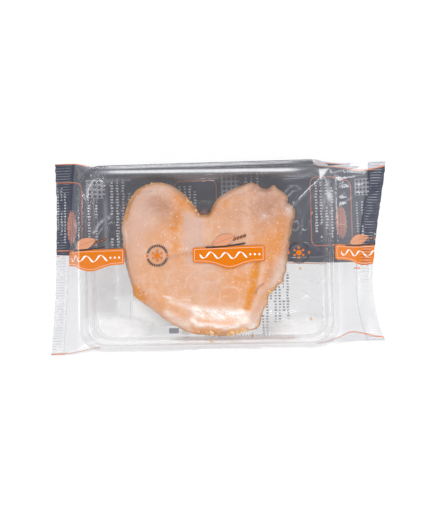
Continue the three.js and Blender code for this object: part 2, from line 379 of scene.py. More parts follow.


# Creases of the loose film over the tray: how high, how white a highlight is painted along them and
# how wide, then their course.
CREASES = [
    (0.8, 0.7, 0.9, (85.4, 57.5), (90.1, 53.2), (93.4, 50.3), (95.4, 47.5), (99.4, 46)),
    (0.7, 0.45, 0.7, (79, 50.5), (71.3, 43.8), (62.2, 35.1), (56, 29.5)),
    (0.5, 0.25, 0.7, (80, 51), (71, 36), (66, 24), (65, 14)),
    (0.5, 0.4, 0.9, (87, 56), (84, 46), (83.5, 34), (84.5, 18)),
    (0.4, 0.3, 0.8, (89, 54), (88, 42), (87.2, 28), (87.8, 14)),
    (0.4, 0.25, 0.7, (78, 58), (70, 54), (61, 51), (54, 50.5)),
    (0.5, 0.4, 0.7, (100.7, 38.5), (92.4, 33.2), (85.4, 27.8), (77, 19.1)),
    (0.4, 0.45, 0.6, (59.8, 22), (62.6, 22.6), (64.1, 19.2), (61.9, 15.8), (59, 17)),
    (0.4, 0.4, 0.8, (54.8, 42.2), (58.4, 46.2), (63.2, 46.8), (65.2, 44), (60, 43.2), (57, 40)),
    (0.4, 0.4, 0.6, (54.9, -12.2), (63.7, -15.8), (72.4, -20.1)),
    (0.4, 0.6, 0.7, (71.9, -14.6), (77.5, -7.9)),
    (0.3, 0.5, 0.7, (75.8, -20.2), (78.6, -16.8)),
    (0.3, 0.2, 0.7, (58, 4), (68, 7.4), (77.7, 2.3)),
    (0.3, 0.15, 0.8, (64, -24), (76, -33), (86, -50)),
    (0.6, 0.5, 1.5, (-78.5, 18), (-74.6, 25), (-70, 27.7), (-66.2, 28.9)),
    (0.4, 0.45, 0.8, (-76.5, 16), (-72, 22.5), (-66, 25.5)),
    (0.3, 0.2, 0.8, (-66, 12), (-72, 3), (-78, -10)),
    (0.3, 0.25, 0.8, (-60, -16), (-68, -20), (-80, -21)),
    (0.4, 0.2, 0.9, (-87, -57), (-74, -45), (-62, -38)),
    (0.3, 0.2, 1.0, (-82, 54), (-74, 43), (-70, 36)),
    (0.3, 0.15, 0.8, (66, 46), (60, 34), (58.5, 27)),
]
# The film's little folded triangle, painted white as a highlight, and the soft white veils beside the
# creases, which are painted reflections.
FOLDED_CORNER = (79, 50.6), (85.4, 58.4), (78.3, 58.2)
PAINTED_VEILS = [(0.5, 84.8, 39.3, 2.6, 3.4), (0.3, -70.3, 24, 1.6, 24), (0.08, 75, 40, 14, 16)]
PAINTED_STREAKED_VEIL = 84.5, 33, 5.5, 20


def film_wrinkles(x, y):
    """Ridges of the loose film over the tray: each a soft line, with a low cloud between them."""
    z = 0.16 * cloud(x, y * 1.4, 16, 3) + 0.04 * cloud(x * 1.3, y, 5, 13)
    for high, _, wide, *course in CREASES:
        z = z + high * stroke(x, y, wide + 0.4, *course)
    return z


def painted_film_highlights(x, y):
    """How white the film is painted: the most of painted highlights along creases and on the folded
    corner, two painted gleams and painted veils of reflection.

    The gleams are painted reflections along the back rim: one is broad and level, and one is thin and
    at a slant.
    """
    crease_glints = np.zeros(np.shape(x))
    for _, pale, wide, *course in CREASES:
        crease_glints = np.maximum(crease_glints, pale * stroke(x, y, wide * 0.8, *course))
    crease_glints *= 0.75 + 0.5 * noise(x / 1.7, y / 1.7, 15)
    folded = 0.95 * patch(x, y, 0.6, *FOLDED_CORNER)
    run = window(x, -84, -60, 52, 74) * (0.85 + 0.25 * noise(x / 26, y / 3, 23))
    broad = 0.95 * np.exp(-(((y - 63.5) / 1.25) ** 4)) * run
    thin = 1.4 * np.exp(-(((y + 0.0173 * x - 59.3) / 1.2) ** 2)) * run
    streaks = 0.5 + 0.5 * noise(x / 0.9, y / 6, 19)
    veil = marks(x, y, PAINTED_VEILS) + 0.4 * streaks * blot(x, y, *PAINTED_STREAKED_VEIL)
    return np.clip(np.maximum.reduce([crease_glints, folded, broad, thin, veil]), 0, 1)


def sleeve_top(lip, rim_height):
    """Loops from the crown out to the lip, and each place's share of the way to the cling line.

    The film lies on the palmier, falls from the cling line to a low dip and rises to the rim.
    """
    way = lip[:, :2] - MIDDLE
    far = np.hypot(*way.T)
    way /= far[:, None]
    reach = far / cling_share(lip[:, 0], lip[:, 1])
    inner = np.linspace(0, 1, 31)[1:, None] ** 0.9 * reach
    outer = reach + (far - reach) * np.linspace(0, 1, 53)[1:, None] ** 1.1
    away = np.vstack([inner, outer])
    x, y = MIDDLE[0] + way[:, 0] * away, MIDDLE[1] + way[:, 1] * away
    share = away / reach
    beyond, before = np.maximum(away - reach, 0), np.maximum(far - away, 0)
    tau = beyond / np.maximum(far - reach, 1e-6)
    over = film_over_palmier(x, y, share, rim_height)
    loose = rim_height - 4 * FILM_DIP * tau * (1 - tau)
    held = np.exp(-((beyond / 6.0) ** 2))
    z = np.where(share <= 1, over, loose + (over - rim_height) * held)
    free = ease(beyond, 1, 7) * ease(before, 0, 3)
    z += film_wrinkles(x, y) * free
    z += 0.05 * cloud(x, y, 5, 31) * (1 - free) * ease(before, 0, 3)
    z += 0.12 * noise(x / 9, y / 2.6, 33) * free * ease(-y, 40, 50)
    return np.stack([x, y, z], -1), share


def widest_loop(rim, rim_height, side, s):
    """The film half-way down: the seals' inner lines, and bowed walls that run to their ends."""
    wall_x, _ = rounded_rectangle(*rim, RIM_CORNER, side, np.clip(s, -CORNER_FROM, CORNER_FROM))
    back, right = side == 1, np.where(side == 1, s < 0, s > 0)
    level = np.where(back, 1.0, -1.0)
    corner = np.where(right[:, None], on_seal(SEALS["right"], level, 0.0),
                      on_seal(SEALS["left"], level, 0.0))
    half = (rim[1] + FOOT_WIDTH) / 4 + SIDE_BOW
    turned = corner_share(s)
    arc, swing = np.sin(np.pi / 2 * turned), ease(turned, 0, 1)
    wall = np.stack([
        wall_x * (1 - turned) + corner[:, 0] * turned,
        level * half * (1 - arc) + corner[:, 1] * arc,
        rim_height / 2 * (1 - swing) + corner[:, 2] * swing,
    ], -1)
    return np.where((side == 0)[:, None], on_seal(SEALS["right"], s, 0.0),
                    np.where((side == 2)[:, None], on_seal(SEALS["left"], -s, 0.0), wall))


def pleated(start, stop, count, height, seed, side, s):
    """Straight lines with pleats: cosines of two pitches and noise, widest half-way down."""
    share = np.linspace(0, 1, count + 2)[1:-1][:, None, None]
    between = start * (1 - share) + stop * share
    swell = np.sin(np.pi * share[..., 0])
    pleat = (0.55 * np.cos(7 * np.pi * s + side) + 0.3 * np.cos(19 * np.pi * s + 2.1 * side)
             + 0.5 * noise(14 * s + 3 * side, 3 * share[..., 0], seed))
    ends = side % 2 == 0
    between[..., 2] += np.where(ends, height * swell * (1 - s**8) * pleat, 0)
    bow = np.where(ends, 0, 0.35 * swell * noise(9 * s, 4 * share[..., 0], seed + 1))
    between[..., 1] += np.sign(between[..., 1]) * bow * (1 - corner_share(s))
    return between


def sleeve_shape(rim_length, rim_width, rim_height):
    """The film round tray and palmier: loops from its crown over the rim and in under the foot.

    The rim and the heel are quarter circles; pleated lines run down to the widest loop and in
    from it to the foot.
    """
    side, s = stations(*FILM_STEPS)
    rim, foot_size = (rim_length, rim_width), (FOOT_LENGTH, FOOT_WIDTH)

    def section(size, corner, inset, z):
        x, y = rounded_rectangle(size[0] - 2 * inset, size[1] - 2 * inset,
                                 max(corner - inset, 2), side, s)
        return np.stack([x, y, np.full_like(x, z)], -1)

    top, share = sleeve_top(section(rim, RIM_CORNER, RIM_LIP, rim_height), rim_height)
    edge = [section(rim, RIM_CORNER, RIM_ROUND + 1, rim_height)]
    edge += [section(rim, RIM_CORNER, RIM_ROUND * (1 - np.sin(a)),
                     rim_height - RIM_ROUND * (1 - np.cos(a)))
             for a in (np.pi / 6, np.pi / 3, np.pi / 2)]
    equator = widest_loop(rim, rim_height, side, s)
    foot = section(foot_size, FOOT_CORNER, 0, FOOT_ROUND)
    heel = [section(foot_size, FOOT_CORNER, FOOT_ROUND * (1 - np.cos(a)),
                    FOOT_ROUND * (1 - np.sin(a)))
            for a in (0, np.pi / 6, np.pi / 3, np.pi / 2)]
    base = [section(foot_size, FOOT_CORNER, inset, BASE_RISE * ease(inset, 4, 12))
            for inset in (3, 6, 9, 13, 19, 26, 34, 43, 52)]
    down = pleated(edge[-1], equator, 15, 0.8, 11, side, s)
    under = pleated(equator, foot, 11, 0.35, 17, side, s)
    loops = np.concatenate([top, edge, down, equator[None], under, heel + base])

    upper = len(top) + len(edge)
    panel = upper + len(down)
    row = np.arange(len(loops))[:, None]
    walls = row >= upper - 3
    parts = ((row >= panel) | (walls & (side == 1)))[:-1].astype(int)
    x, y = loops[..., 0], loops[..., 1]
    rise = np.clip((loops[..., 2] - FOOT_ROUND) / (rim_height / 2 - FOOT_ROUND), 0, 2)
    v = y + np.sign(y) * WALL_RUN * rise * (1 - corner_share(s)) * (side % 2 == 1) * walls
    along, across = print_spot(x, v)
    pressed = np.zeros_like(x)
    pressed[:len(share)] = 1 - ease(share, 0.86, 1.04)
    places = {
        "print_place": np.stack([front_run(x), across, along], -1),
        # Here the third value is the painted highlight on the film, above the base panel.
        "fold_place": np.stack([*fold_lines(x, v), painted_film_highlights(x, y) * (row < panel)], -1),
        "pressed": np.stack([pressed] * 3, -1),
    }
    return loops, places, parts


def seal_shape(seal):
    """One crimped end seal: a flat ring across the strip, carried along its length.

    Its height is a sine of the crimp's pitch, which fades to the inner edge and at a bare band
    along the outer edge.
    """
    ridges = round((seal["back"] - seal["front"]) / CRIMP_PITCH)
    t = np.linspace(-1, 1, ridges * 8 + 1)[:, None]
    across = np.concatenate([[-0.05, -0.02], np.linspace(0, 1, 9)])
    ring = np.concatenate([across, across[::-1]])
    face = np.repeat([-1, 1], len(across))
    place = on_seal(seal, t, ring[None])
    x, y = place[..., 0], place[..., 1]
    inner, outer_sign = seal["inner"](t), np.sign(seal["outer"](0))
    torn = seal["torn"] * ease(-t, 0.05, 0.5)
    crimped = ease(ring, 0.0, 0.3) * (1 - 0.85 * ease(ring, seal["band"], seal["band"] + 0.08))
    crest = crimped * (1 - 0.35 * torn) * np.sin(np.pi * ridges * (t + 1))
    place[..., 2] += 0.24 * crest + face * np.where(ring < 0, 0.05, 0.14)
    place[..., 2] += (0.35 + 0.9 * torn) * cloud(x, y, 9, 5) * ease(ring, 0.1, 1)
    place[..., 0] += 0.25 * noise(y / 2.3, 0, 7) * ease(ring, 0.8, 1) * outer_sign
    if outer_sign < 0:
        place = place[:, ::-1]
        x, y = x[:, ::-1], y[:, ::-1]
    along, v = print_spot(x, y)
    strip_share = np.abs(x - inner) / np.abs(seal["outer"](t) - inner)
    places = {
        "print_place": np.stack([front_run(inner) + x - inner, v, along], -1),
        "fold_place": np.stack([*fold_lines(x, y), strip_share], -1),
        "crimp": np.stack([crest] * 3, -1),
    }
    return place, places


def lap_shape():
    """The lap seal: a thin flat ring carried under the pack and up to both end seals."""
    middle = (LAP_FRONT + LAP_BACK) / 2
    t = [2 * (middle - seal["front"]) / (seal["back"] - seal["front"]) - 1
         for seal in SEALS.values()]
    left, right = (on_seal(seal, at, 0.0) for seal, at in zip(SEALS.values(), t))
    end = FOOT_LENGTH / 2
    path = [(left[0] + 2, left[2] - 0.5), (-end, 0.75), (-end + 6, 0.15),
            (end - 6, 0.15), (end, 0.75), (right[0] - 2, right[2] - 0.5)]
    x = np.concatenate([np.linspace(a[0], b[0], 24, endpoint=False)
                        for a, b in zip(path, path[1:])] + [[right[0] - 2]])[:, None]
    y = np.linspace(LAP_BACK, LAP_FRONT, 9)
    y = np.concatenate([y, y[::-1]])[None]
    z = np.interp(x, *zip(*path)) + np.repeat([-0.1, 0.1], 9)[None]
    z = z + 0.05 * (1 + noise(x / 9, y / 5, 3))
    x, y, z = np.broadcast_arrays(x, y, z)
    places = {
        "print_place": np.stack([x, y, x], -1),
        "fold_place": np.stack([*fold_lines(x, y), 0 * x], -1),
    }
    return np.stack([x, y, z], -1), places


# The tray's profile for a rim 20 mm high, from the raised floor panel up and over the lip: the
# inset from the rim, and the height.
TRAY_PROFILE = [
    (26.6, 2.35), (26.1, 2.2), (25.6, 1.75), (25.1, 1.2), (24.6, 0.9), (23.6, 0.82),
    *((inset, 0.8) for inset in np.linspace(22, 12.4, 14)),
    (11.0, 0.85), (10.1, 1.05), (9.5, 1.6), (9.15, 2.7), (8.85, 4.2), (8.3, 7.2), (7.8, 10.2),
    (7.5, 10.9), (7.1, 11.2), (6.5, 11.35), (5.9, 11.5), (5.6, 11.9), (5.4, 12.6), (5.1, 15.0),
    (4.8, 17.8), (4.55, 18.8), (4.1, 19.5), (3.5, 19.85), (2.8, 19.95), (2.0, 19.95),
    (1.4, 19.85), (0.95, 19.5), (0.75, 19.0), (0.6, 17.4),
]
PROFILE_HEIGHT = 20.0
STEP_INSET = 5.8
TRAY_FEET = (69.2, 22), (68, -26.3), (-70.2, -25), (-69.6, 23)


def tray_painted_light(x, y, z, inset):
    """Where a white reflection is painted on the tray's front floor and a highlight on its step, and
    where a painted shade tint lies, warm as a reflection of the pastry.
    """
    # Painted reflection of a window on the front floor, and a painted highlight on the step.
    floor = np.maximum(
        patch(x, y, 6, (-92, -68), (-50, -68), (-44, -48), (-68, -42), (-92, -40)),
        patch(x, y, 6, (38, -68), (92, -64), (92, -48), (66, -44), (42, -47)))
    floor *= (z < 1.5) * (0.8 + 0.3 * noise(x / 9, y / 5, 5))
    lit = np.maximum(ease(-y, 38, 52), 0.7 * ease(np.abs(x), 74, 82) * ease(y, 36, 50))
    step = lit * np.exp(-(((inset - STEP_INSET) / 0.5) ** 2))
    step *= 0.75 + 0.3 * noise(x / 12, y / 12, 8)
    wall = window(z, 1, 3, 11, 12.5)
    # Painted shade tint: the front and back walls, the floor beside the palmier and the front rim,
    # darkened as shade and tinted as a warm reflection of the pastry.
    painted_shade_tint = np.maximum.reduce([
        wall * patch(x, y, 6, (-22, -70), (62, -70), (62, -50), (-22, -50)),
        0.5 * wall * patch(x, y, 6, (-52, 50), (62, 50), (62, 70), (-52, 70)),
        0.5 * patch(x, y, 4, (-86, -40), (-66, -40), (-66, 4), (-86, 4)),
        0.5 * patch(x, y, 4, (-68, -28), (-50, -28), (-56, 2), (-68, 2)),
        0.35 * ease(z, 12, 18) * ease(-y, 52, 60)])
    return np.stack([np.maximum(floor, step), painted_shade_tint, 0 * painted_shade_tint], -1)


def tray_shape(length, width, height):
    """A profile carried round rounded rectangles, from the raised floor panel out to the lip.

    Corners tighten evenly from rim to panel, and four moulded feet stand up beside the panel as
    flat-topped ellipses.
    """
    side, s = stations(*TRAY_STEPS)
    loops = []
    for inset, z in TRAY_PROFILE:
        corner = np.interp(inset, [0, 8.3, 26.6], [RIM_CORNER, 11.5, 8])
        x, y = rounded_rectangle(length - 2 * inset, width - 2 * inset, corner, side, s)
        loops.append(np.stack([x, y, np.full_like(x, z * height / PROFILE_HEIGHT)], -1))
    flat = [loops[0] * (k, k, 1) for k in np.linspace(0.06, 0.97, 22)]
    loops = np.stack(flat + loops)
    x, y, z = loops[..., 0], loops[..., 1], loops[..., 2]
    for cx, cy in TRAY_FEET:
        away = np.abs((x - cx) / 2.9) ** 4 + np.abs((y - cy) / 3.6) ** 4
        z += 1.5 * (1 - ease(away, 0.35, 1.6)) * (z < 3)
    z += 0.05 * cloud(x, y, 22, 9) * (z < 3)
    inset = np.array([FAR_INSIDE] * len(flat) + [inset for inset, _ in TRAY_PROFILE])[:, None]
    return loops, {"gleam": tray_painted_light(x, y, z, inset)}, (0, 0, float(z[0, 0]))
    return loops, places, (0, 0, float(loops[0, 0, 2]))


# ---------------------------------------------------------------- the palmier

# Where more baked pastry shows outside the glaze: its width in millimetres, then a blot's place.
BARE_SPOTS = [
    (1.4, -2, 31, 10, 8), (1.8, 44, -27, 5, 6), (1.0, 59, 22, 5, 10), (0.9, 27, 50, 9, 4),
    (0.5, -50, -28, 5, 5),
]
# Folds and hollows of the dough: height in millimetres, then a stroke or a blot.
DOUGH_FOLDS = [
    (-0.8, 2.3, (34.8, -3), (32.6, -13), (30.8, -20.6), (28.6, -29), (26.6, -38)),
    (-0.35, 2.2, (-27, -1.4), (-18, 0.6), (-8.8, 2.3), (0, 1.0)),
    (-0.45, 1.0, (1.4, 27), (0.8, 18), (0.9, 9), (3, 2)),
    (-0.5, 1.0, (38.4, -19.8), (36.3, -21.4), (34.2, -23.4), (33.2, -26.5)),
    (-0.5, 1.6, (44, -6), (43, -13), (45, -20)),
    (0.35, 3.0, (40, -8), (36.5, -22), (33.5, -33), (30, -42)),
    (-1.2, 36.3, 46.5, 2.4, 3.4), (-1.0, 42.3, 45.6, 2.2, 3.6), (-0.9, 56.2, 35.2, 2.6, 1.8),
    (-0.5, 5.5, 36, 2.4, 5),
]


def bare_edge(curve):
    """How wide a band of baked pastry shows outside the glaze, round the outline."""
    x, y = curve.T
    left = 3.5 * stroke(x, y, 2.6, (-58, 29), (-54.5, 38.5), (-49, 47))
    upper = 1.5 * stroke(x, y, 3, (-47, 49), (-38, 52.5), (-31, 52))
    front = 2.0 * stroke(x, y, 2.6, (-9, -53.5), (2, -55), (18, -54))
    wide = 0.25 + 0.3 * cloud(x, y, 6, 41) + marks(x, y, BARE_SPOTS)
    wide += left * (1 + 0.6 * cloud(x, y, 3, 43)) + upper * (1 + 0.6 * cloud(x, y, 4, 44))
    wide += front * (1 + 0.9 * cloud(x, y, 5, 45))
    return np.clip(wide, 0.12, 4)


def pastry_top(x, y, inside, rim_height):
    """Height of the baked dough under the glaze.

    It follows the film over the palmier and rolls off to the outline as a quarter ellipse,
    widest along the front, with folds and hollows as soft strokes and a raised middle field.
    """
    film = film_over_palmier(x, y, cling_share(x, y), rim_height)
    top = film - DOUGH_UNDER_FILM - 0.22 * (1 + cloud(x, y, 17, 21)) - 0.05 * cloud(x, y, 4.5, 25)
    front = ease(-y, 22, 50) * ease(42 - np.abs(x - 6), 0, 16)
    width = 3.4 + 14.7 * front + 2.0 * blot(x, y, 45, -25, 10, 12)
    edge = 14.8 - 1.6 * front + 0.8 * noise(x / 9, y / 9, 23)
    q = np.clip(1 - inside / width, 0, 1)
    top = top - (top - edge) * (1 - np.sqrt(np.clip(1 - q * q, 0, 1)))
    field = 0.3 * window(x, -15.9, -14.6, -6, 1) * window(y, -8, 2, 27, 34)
    return top + marks(x, y, DOUGH_FOLDS) + field


def middle_height(rim_height):
    """Height of the dough at the palmier's middle."""
    return float(pastry_top(MIDDLE[:1], MIDDLE[1:], FAR_INSIDE, rim_height)[0])


def glaze_depth(inward):
    """The glaze's thickness from its edge inwards: a smooth step from a skin to its full depth."""
    return 0.1 + 0.85 * ease(inward, 0, 5)


def facing_out(line):
    """How squarely a closed curve faces away from the palmier's middle, and the way out."""
    way = (line - MIDDLE) / np.linalg.norm(line - MIDDLE, axis=1, keepdims=True)
    return (way * outward(line)).sum(1), way


def palmier_outline():
    """The outline with ragged flakes: a cloud and finer noise along the ray from the middle."""
    line = closed_curve(PALMIER_LINE, OUTLINE_COUNT)
    square, way = facing_out(line)
    x, y = line.T
    ragged = 0.5 * cloud(x, y, 5.5, 51) + 0.25 * noise(x / 1.3, y / 1.3, 55)
    ragged *= 0.4 + 0.9 * stroke(x, y, 9, (40, -30), (54, -12), (60, 28), (44, 47))
    return line + way * (ragged * np.clip(square, 0.3, 1))[:, None]


def glaze_line(outline):
    """The glaze's edge: drawn in from the outline along the ray by the bare edge's width."""
    square, way = facing_out(outline)
    square = np.convolve(np.tile(np.clip(square, 0.3, 1), 3), np.ones(15) / 15, "same")
    return outline - way * (bare_edge(outline) / square[len(outline):2 * len(outline)])[:, None]


def rays(line, share):
    """Places at shares of the way from the palmier's middle to each point of a line."""
    return (MIDDLE[k] + share * (line[:, k] - MIDDLE[k]) for k in range(2))


def depth_inside(x, y, line):
    """The distance to a closed line, of which every third point is enough."""
    return distance(x, y, line[::3], closed=True)


# Colours on the palmier: a strength from 0 to about 1, then a stroke or a blot.
PALE_GLAZE = [
    (0.95, -41, 33, 13, 19, -20), (0.5, -50, 8, 9, 16), (0.9, 41, 35, 13, 9),
    (0.6, 41, 31, 5, 9), (0.3, 18, 26, 14, 12), (0.45, 2, -15, 24, 12), (0.35, 57, 28, 4, 6),
    (0.6, 4.5, (51.5, -5), (50, -12), (47, -19)),
    (0.25, 4, (43, -8), (38, -25), (34, -40)),
]
BROWNED = [
    (0.95, 4.2, (-18.5, 40), (-19.5, 30), (-22, 20), (-21, 6)),
    (1.1, 1.7, (-11, -49.6), (-5.7, -51.3), (4, -51.8), (12, -52), (18, -51.5)),
    (0.45, 2.2, (5, -45.4), (13, -44), (19, -42.9)),
    (0.2, 2.0, (-24, -36), (-18.5, -39.5), (-15, -41.6)),
    (0.7, 3, (43.4, -5), (42.4, -11), (41, -17)), (0.5, 2.5, (43, -24.5), (39, -32.6)),
    (0.6, 3, (-57, 8), (-56, -6), (-52, -20)), (0.45, 4.5, (-50, -24), (-42, -31), (-36, -36)),
    (0.8, 4.5, (54, 24), (51, 8), (47, 2)), (0.55, 2.6, (-19, 0), (-11, 2.2), (-5, 1)),
    (0.5, 2.5, (-6, 29), (-14, 37), (-22, 44)),
    (0.7, -2.8, -43.8, 5.5, 2.4), (0.35, 38, 26, 24, 24), (0.7, -49, -26, 5, 6),
    (0.85, 22, -17, 12, 10, 20), (0.5, 44, 6, 10, 12), (0.5, 16, -8, 8, 4),
    (0.3, -34, 12, 14, 16),
]
CARAMEL = [
    (1.15, 2.5, (34.4, -5), (32.6, -13), (31, -20.6), (29, -29), (27.2, -36)),
    (2.6, 2.9, (-51.4, -22.2), (-49.4, -26), (-46, -29.8)),
    (0.6, 1.0, (3.6, 31), (5.2, 38), (8.6, 43)), (0.14, 4, (41, -22), (37, -32), (34, -42)),
    (0.5, 1.3, (-58.5, 28), (-55.5, 38), (-50, 47.5), (-42, 52.5)),
    (0.5, 1.0, (20, -16), (26, -17)), (0.7, 1.4, (2.5, 30), (5, 36), (9, 41)),
    (0.5, 1.3, (-3, 29), (-8, 33.5), (-13, 39)),
    (0.6, 14.6, -8.2, 3.4, 2.0), (0.4, 13.6, 36.5, 3, 2.5),
]
# Painted shade on the palmier: hollows, edges that turn away, the strip under the front edge and the
# right lobe, darkened in a dull brown.
DULL_SHADE = [
    (0.9, 0.8, (-55.2, 31), (-51.6, 39), (-47.6, 45.6)), (0.7, 1.0, (4, -53.2), (12.5, -52.8)),
    (1.0, 2.6, (-58.5, 4), (-56, -8), (-53.5, -20)), (0.8, 2.4, (34, 46.6), (43, 45.4)),
    (0.3, 2.2, (43.4, -6), (42.4, -11), (41.5, -16)), (0.4, 1.6, (-28, -0.5), (-18, 1.2), (-9, 3)),
    (0.4, 1.6, (58.5, 28), (57, 12), (55.5, 2)),
    (0.72, -33, 38, 9, 8), (0.5, -25, 31, 9, 9), (0.42, 38, 32, 26, 20), (0.5, 5.5, 35.5, 2.4, 5),
    (0.5, 42, 31, 10, 8),
]
# Painted highlights on the glaze: the sheen band along the front, pale streaks along the folds at the
# right and small white spots.
PAINTED_SHEEN_MARKS = [
    (0.95, 3.4, (-7, -38.4), (4.8, -39.2), (16.7, -39), (25.5, -40.6)),
    (0.4, 2.6, (-26, -30), (-17, -33.5), (-8, -36.5)),
    (0.85, 1.7, (-10.6, -43.5), (-8, -46.8), (3, -47.8), (12, -49.6), (20, -48.2)),
    (0.45, 3.0, (-28, -38.5), (-24, -42.5), (-15, -47.5)),
    (0.45, 2.4, (-2, -42), (8, -42.6), (20, -42.6)),
    (0.2, 1.5, (38.5, -9), (36.8, -16), (35.6, -24), (33, -33), (29, -39)),
    (0.25, 1.8, (43.5, -21), (40, -30), (36.5, -38), (33, -43)),
    (0.3, 2.6, (51, -6), (49.5, -13), (46.5, -19.5)),
    (0.5, 0.7, (-30, -27), (-22, -29.5), (-12, -30)),
    (0.3, 24, -45, 4, 3), (0.9, 29.5, -49.3, 4.6, 3.2), (0.3, 33.5, -43.5, 3, 4),
    (0.25, 40.4, 27, 3, 3), (0.4, 8.9, 19.9, 0.9, 0.9), (0.4, 57, 30, 2, 4), (0.2, -36, 45, 7, 3),
]
DARK_SPOTS = [
    (1, -38.5, 46.1, 0.45, 0.45), (1, -44.4, -24.3, 0.6, 0.6),
    (0.6, 0.9, (38.4, -19.8), (36.3, -21.4), (34.2, -23.4), (33.2, -26.5)),
]
# Thin pale lines round the places that the film touches: superellipses and two strokes.
PRESSED_RINGS = [(0.9, 15.5, -27.5, 6.6, 5.6, 3), (0.8, 3, -14.6, 5.4, 3.9, 2.5),
                 (0.6, -15, -17, 12.5, 11, 2), (0.5, 5, -18, 17, 12, 2)]
PRESSED_LINES = [
    (0.8, 0.5, (-11, -12.5), (-14, -16), (-15.2, -20.5), (-12.5, -22), (-9.5, -20)),
    (0.6, 0.5, (1.6, 27), (-2.5, 20), (-1.5, 12), (1.5, 9)),
]


def ring_round(x, y, cx, cy, rx, ry, power):
    """1 on a superellipse, falling off beside it as a bell curve 0.6 mm wide."""
    away = (np.abs((x - cx) / rx) ** power + np.abs((y - cy) / ry) ** power) ** (1 / power)
    return np.exp(-(((away - 1) * min(rx, ry) / 0.6) ** 2))


def tones(x, y, own):
    """Colour weights over the palmier as three attributes, in the places where they show.

    Pale is thick milky glaze, warm is thin glaze over browned dough, ochre is caramelised sugar,
    shade is painted shade in a dull brown-mauve, painted_sheen is a painted highlight in the whitest
    glaze with pale lines round the places the film touches, touch is film pressed on the glaze, spots
    are dark specks, and own is the piece's own weight: the glaze's edge, the dough's side.
    """
    field = window(x, -16, -14.8, -5, 2) * window(y, -9, 0, 27, 34)
    pale = np.maximum(marks(x, y, PALE_GLAZE), 0.95 * field)
    ochre = marks(x, y, CARAMEL) * (1.0 + 0.3 * noise(x / 2.2, y / 5, 69))
    rings = sum(weight * ring_round(x, y, *ring) for weight, *ring in PRESSED_RINGS)
    rings = (rings + marks(x, y, PRESSED_LINES)) * (0.6 + 0.6 * noise(x / 3, y / 3, 67))
    painted_sheen = marks(x, y, PAINTED_SHEEN_MARKS) + 0.2 * rings
    right = np.abs((x - 15.5) / 6.3) ** 3 + np.abs((y + 27.5) / 5.2) ** 3
    upper = np.abs((x - 3) / 5) ** 2.5 + np.abs((y + 14.6) / 3.4) ** 2.5
    left = np.hypot((x + 15) / 12.5, (y + 17) / 11) + 0.12 * noise(x / 5, y / 5, 61)
    touch = (0.8 * (1 - ease(right, 0.85, 1.1)) + 0.6 * (1 - ease(upper, 0.8, 1.1))
             + 0.45 * (1 - ease(left, 0.93, 1.02)))
    sets = {
        "tone_a": (pale, marks(x, y, BROWNED), ochre),
        "tone_b": (marks(x, y, DULL_SHADE), painted_sheen, touch),
        "tone_c": (marks(x, y, DARK_SPOTS), own, np.zeros_like(x)),
    }
    return {name: np.clip(np.stack(three, -1), 0, 1) for name, three in sets.items()}


def glaze_shape(rim_height):
    """The glaze: rows out from the palmier's middle to its own edge and back just under itself."""
    outline = palmier_outline()
    line = glaze_line(outline)
    share = 1 - (1 - np.linspace(0, 1, 75)[1:, None]) ** 1.35
    under = share[::-3][1:]
    x, y = rays(line, np.vstack([share, under]))
    edge = depth_inside(x, y, line)
    z = pastry_top(x, y, depth_inside(x, y, outline), rim_height)
    z[:len(share)] += glaze_depth(edge[:len(share)])
    z[len(share):] -= GLAZE_TUCK
    middle = middle_height(rim_height)
    first, last = (*MIDDLE, middle + glaze_depth(FAR_INSIDE)), (*MIDDLE, middle - GLAZE_TUCK)
    return np.stack([x, y, z], -1), tones(x, y, np.exp(-edge / 1.6)), first, last


def pastry_shape(rim_height):
    """The baked dough: its top, laminated sides and rounded foot as one closed skin.

    The side's reach is a slow bulge plus leaves: a saw of the height, bent by noise along the
    edge, and fine noise that is stretched along the layers.
    """
    outline = palmier_outline()
    normal = outward(outline)

    def beside(out, height):
        """Loops at a reach outside the outline and at a height."""
        x, y = outline[:, 0] + normal[:, 0] * out, outline[:, 1] + normal[:, 1] * out
        return np.stack([x, y, height + 0 * out], -1)

    x, y = rays(outline, 1 - (1 - np.linspace(0, 1, 40)[1:, None]) ** 1.5)
    inside = depth_inside(x, y, outline)
    rough = 0.12 * cloud(x, y, 3.4, 71) + 0.05 * noise(x / 0.8, y / 0.8, 75)
    z = pastry_top(x, y, inside, rim_height)
    z += np.exp(-inside / 3.5) * rough * ease(inside, 0, 0.5)
    top = np.stack([x, y, z], -1)

    run = np.concatenate([[0], np.cumsum(np.hypot(*np.diff(outline, axis=0).T))])
    down = np.linspace(0, 1, 37)[1:, None]
    level = z[-1] * (1 - down) + (PALMIER_FOOT + PALMIER_HEEL) * down
    leaf = (level / 1.55 + 1.1 * noise(run / 14, 0, 81)) % 1
    out = 0.5 * np.sin(np.pi * down) - 1.2 * down**2 + (0.65 * leaf - 0.35) * ease(down, 0, 0.12)
    out += 0.3 * noise(run / 3.2, level / 0.8, 83) * ease(down, 0, 0.1)
    side = beside(out, level)
    angle = np.linspace(0, np.pi / 2, 6)[1:, None]
    heel = beside(out[-1] - PALMIER_HEEL * (1 - np.cos(angle)),
                  PALMIER_FOOT + PALMIER_HEEL * (1 - np.sin(angle)))
    x, y = rays(heel[-1], np.linspace(1, 0, 13)[1:-1][:, None])
    sole = np.stack([x, y, PALMIER_FOOT + SOLE_SWELL * (1 + cloud(x, y, 9, 91))], -1)
    loops = np.concatenate([top, side, heel, sole])
    own = np.ones(loops.shape[:2])
    own[:len(top)] = 0
    own[len(top):len(top) + len(side)] = ease(down, 0, 0.2)
    first, last = (*MIDDLE, middle_height(rim_height)), (*MIDDLE, PALMIER_FOOT + SOLE_SWELL)
    return loops, tones(loops[..., 0], loops[..., 1], own), first, last


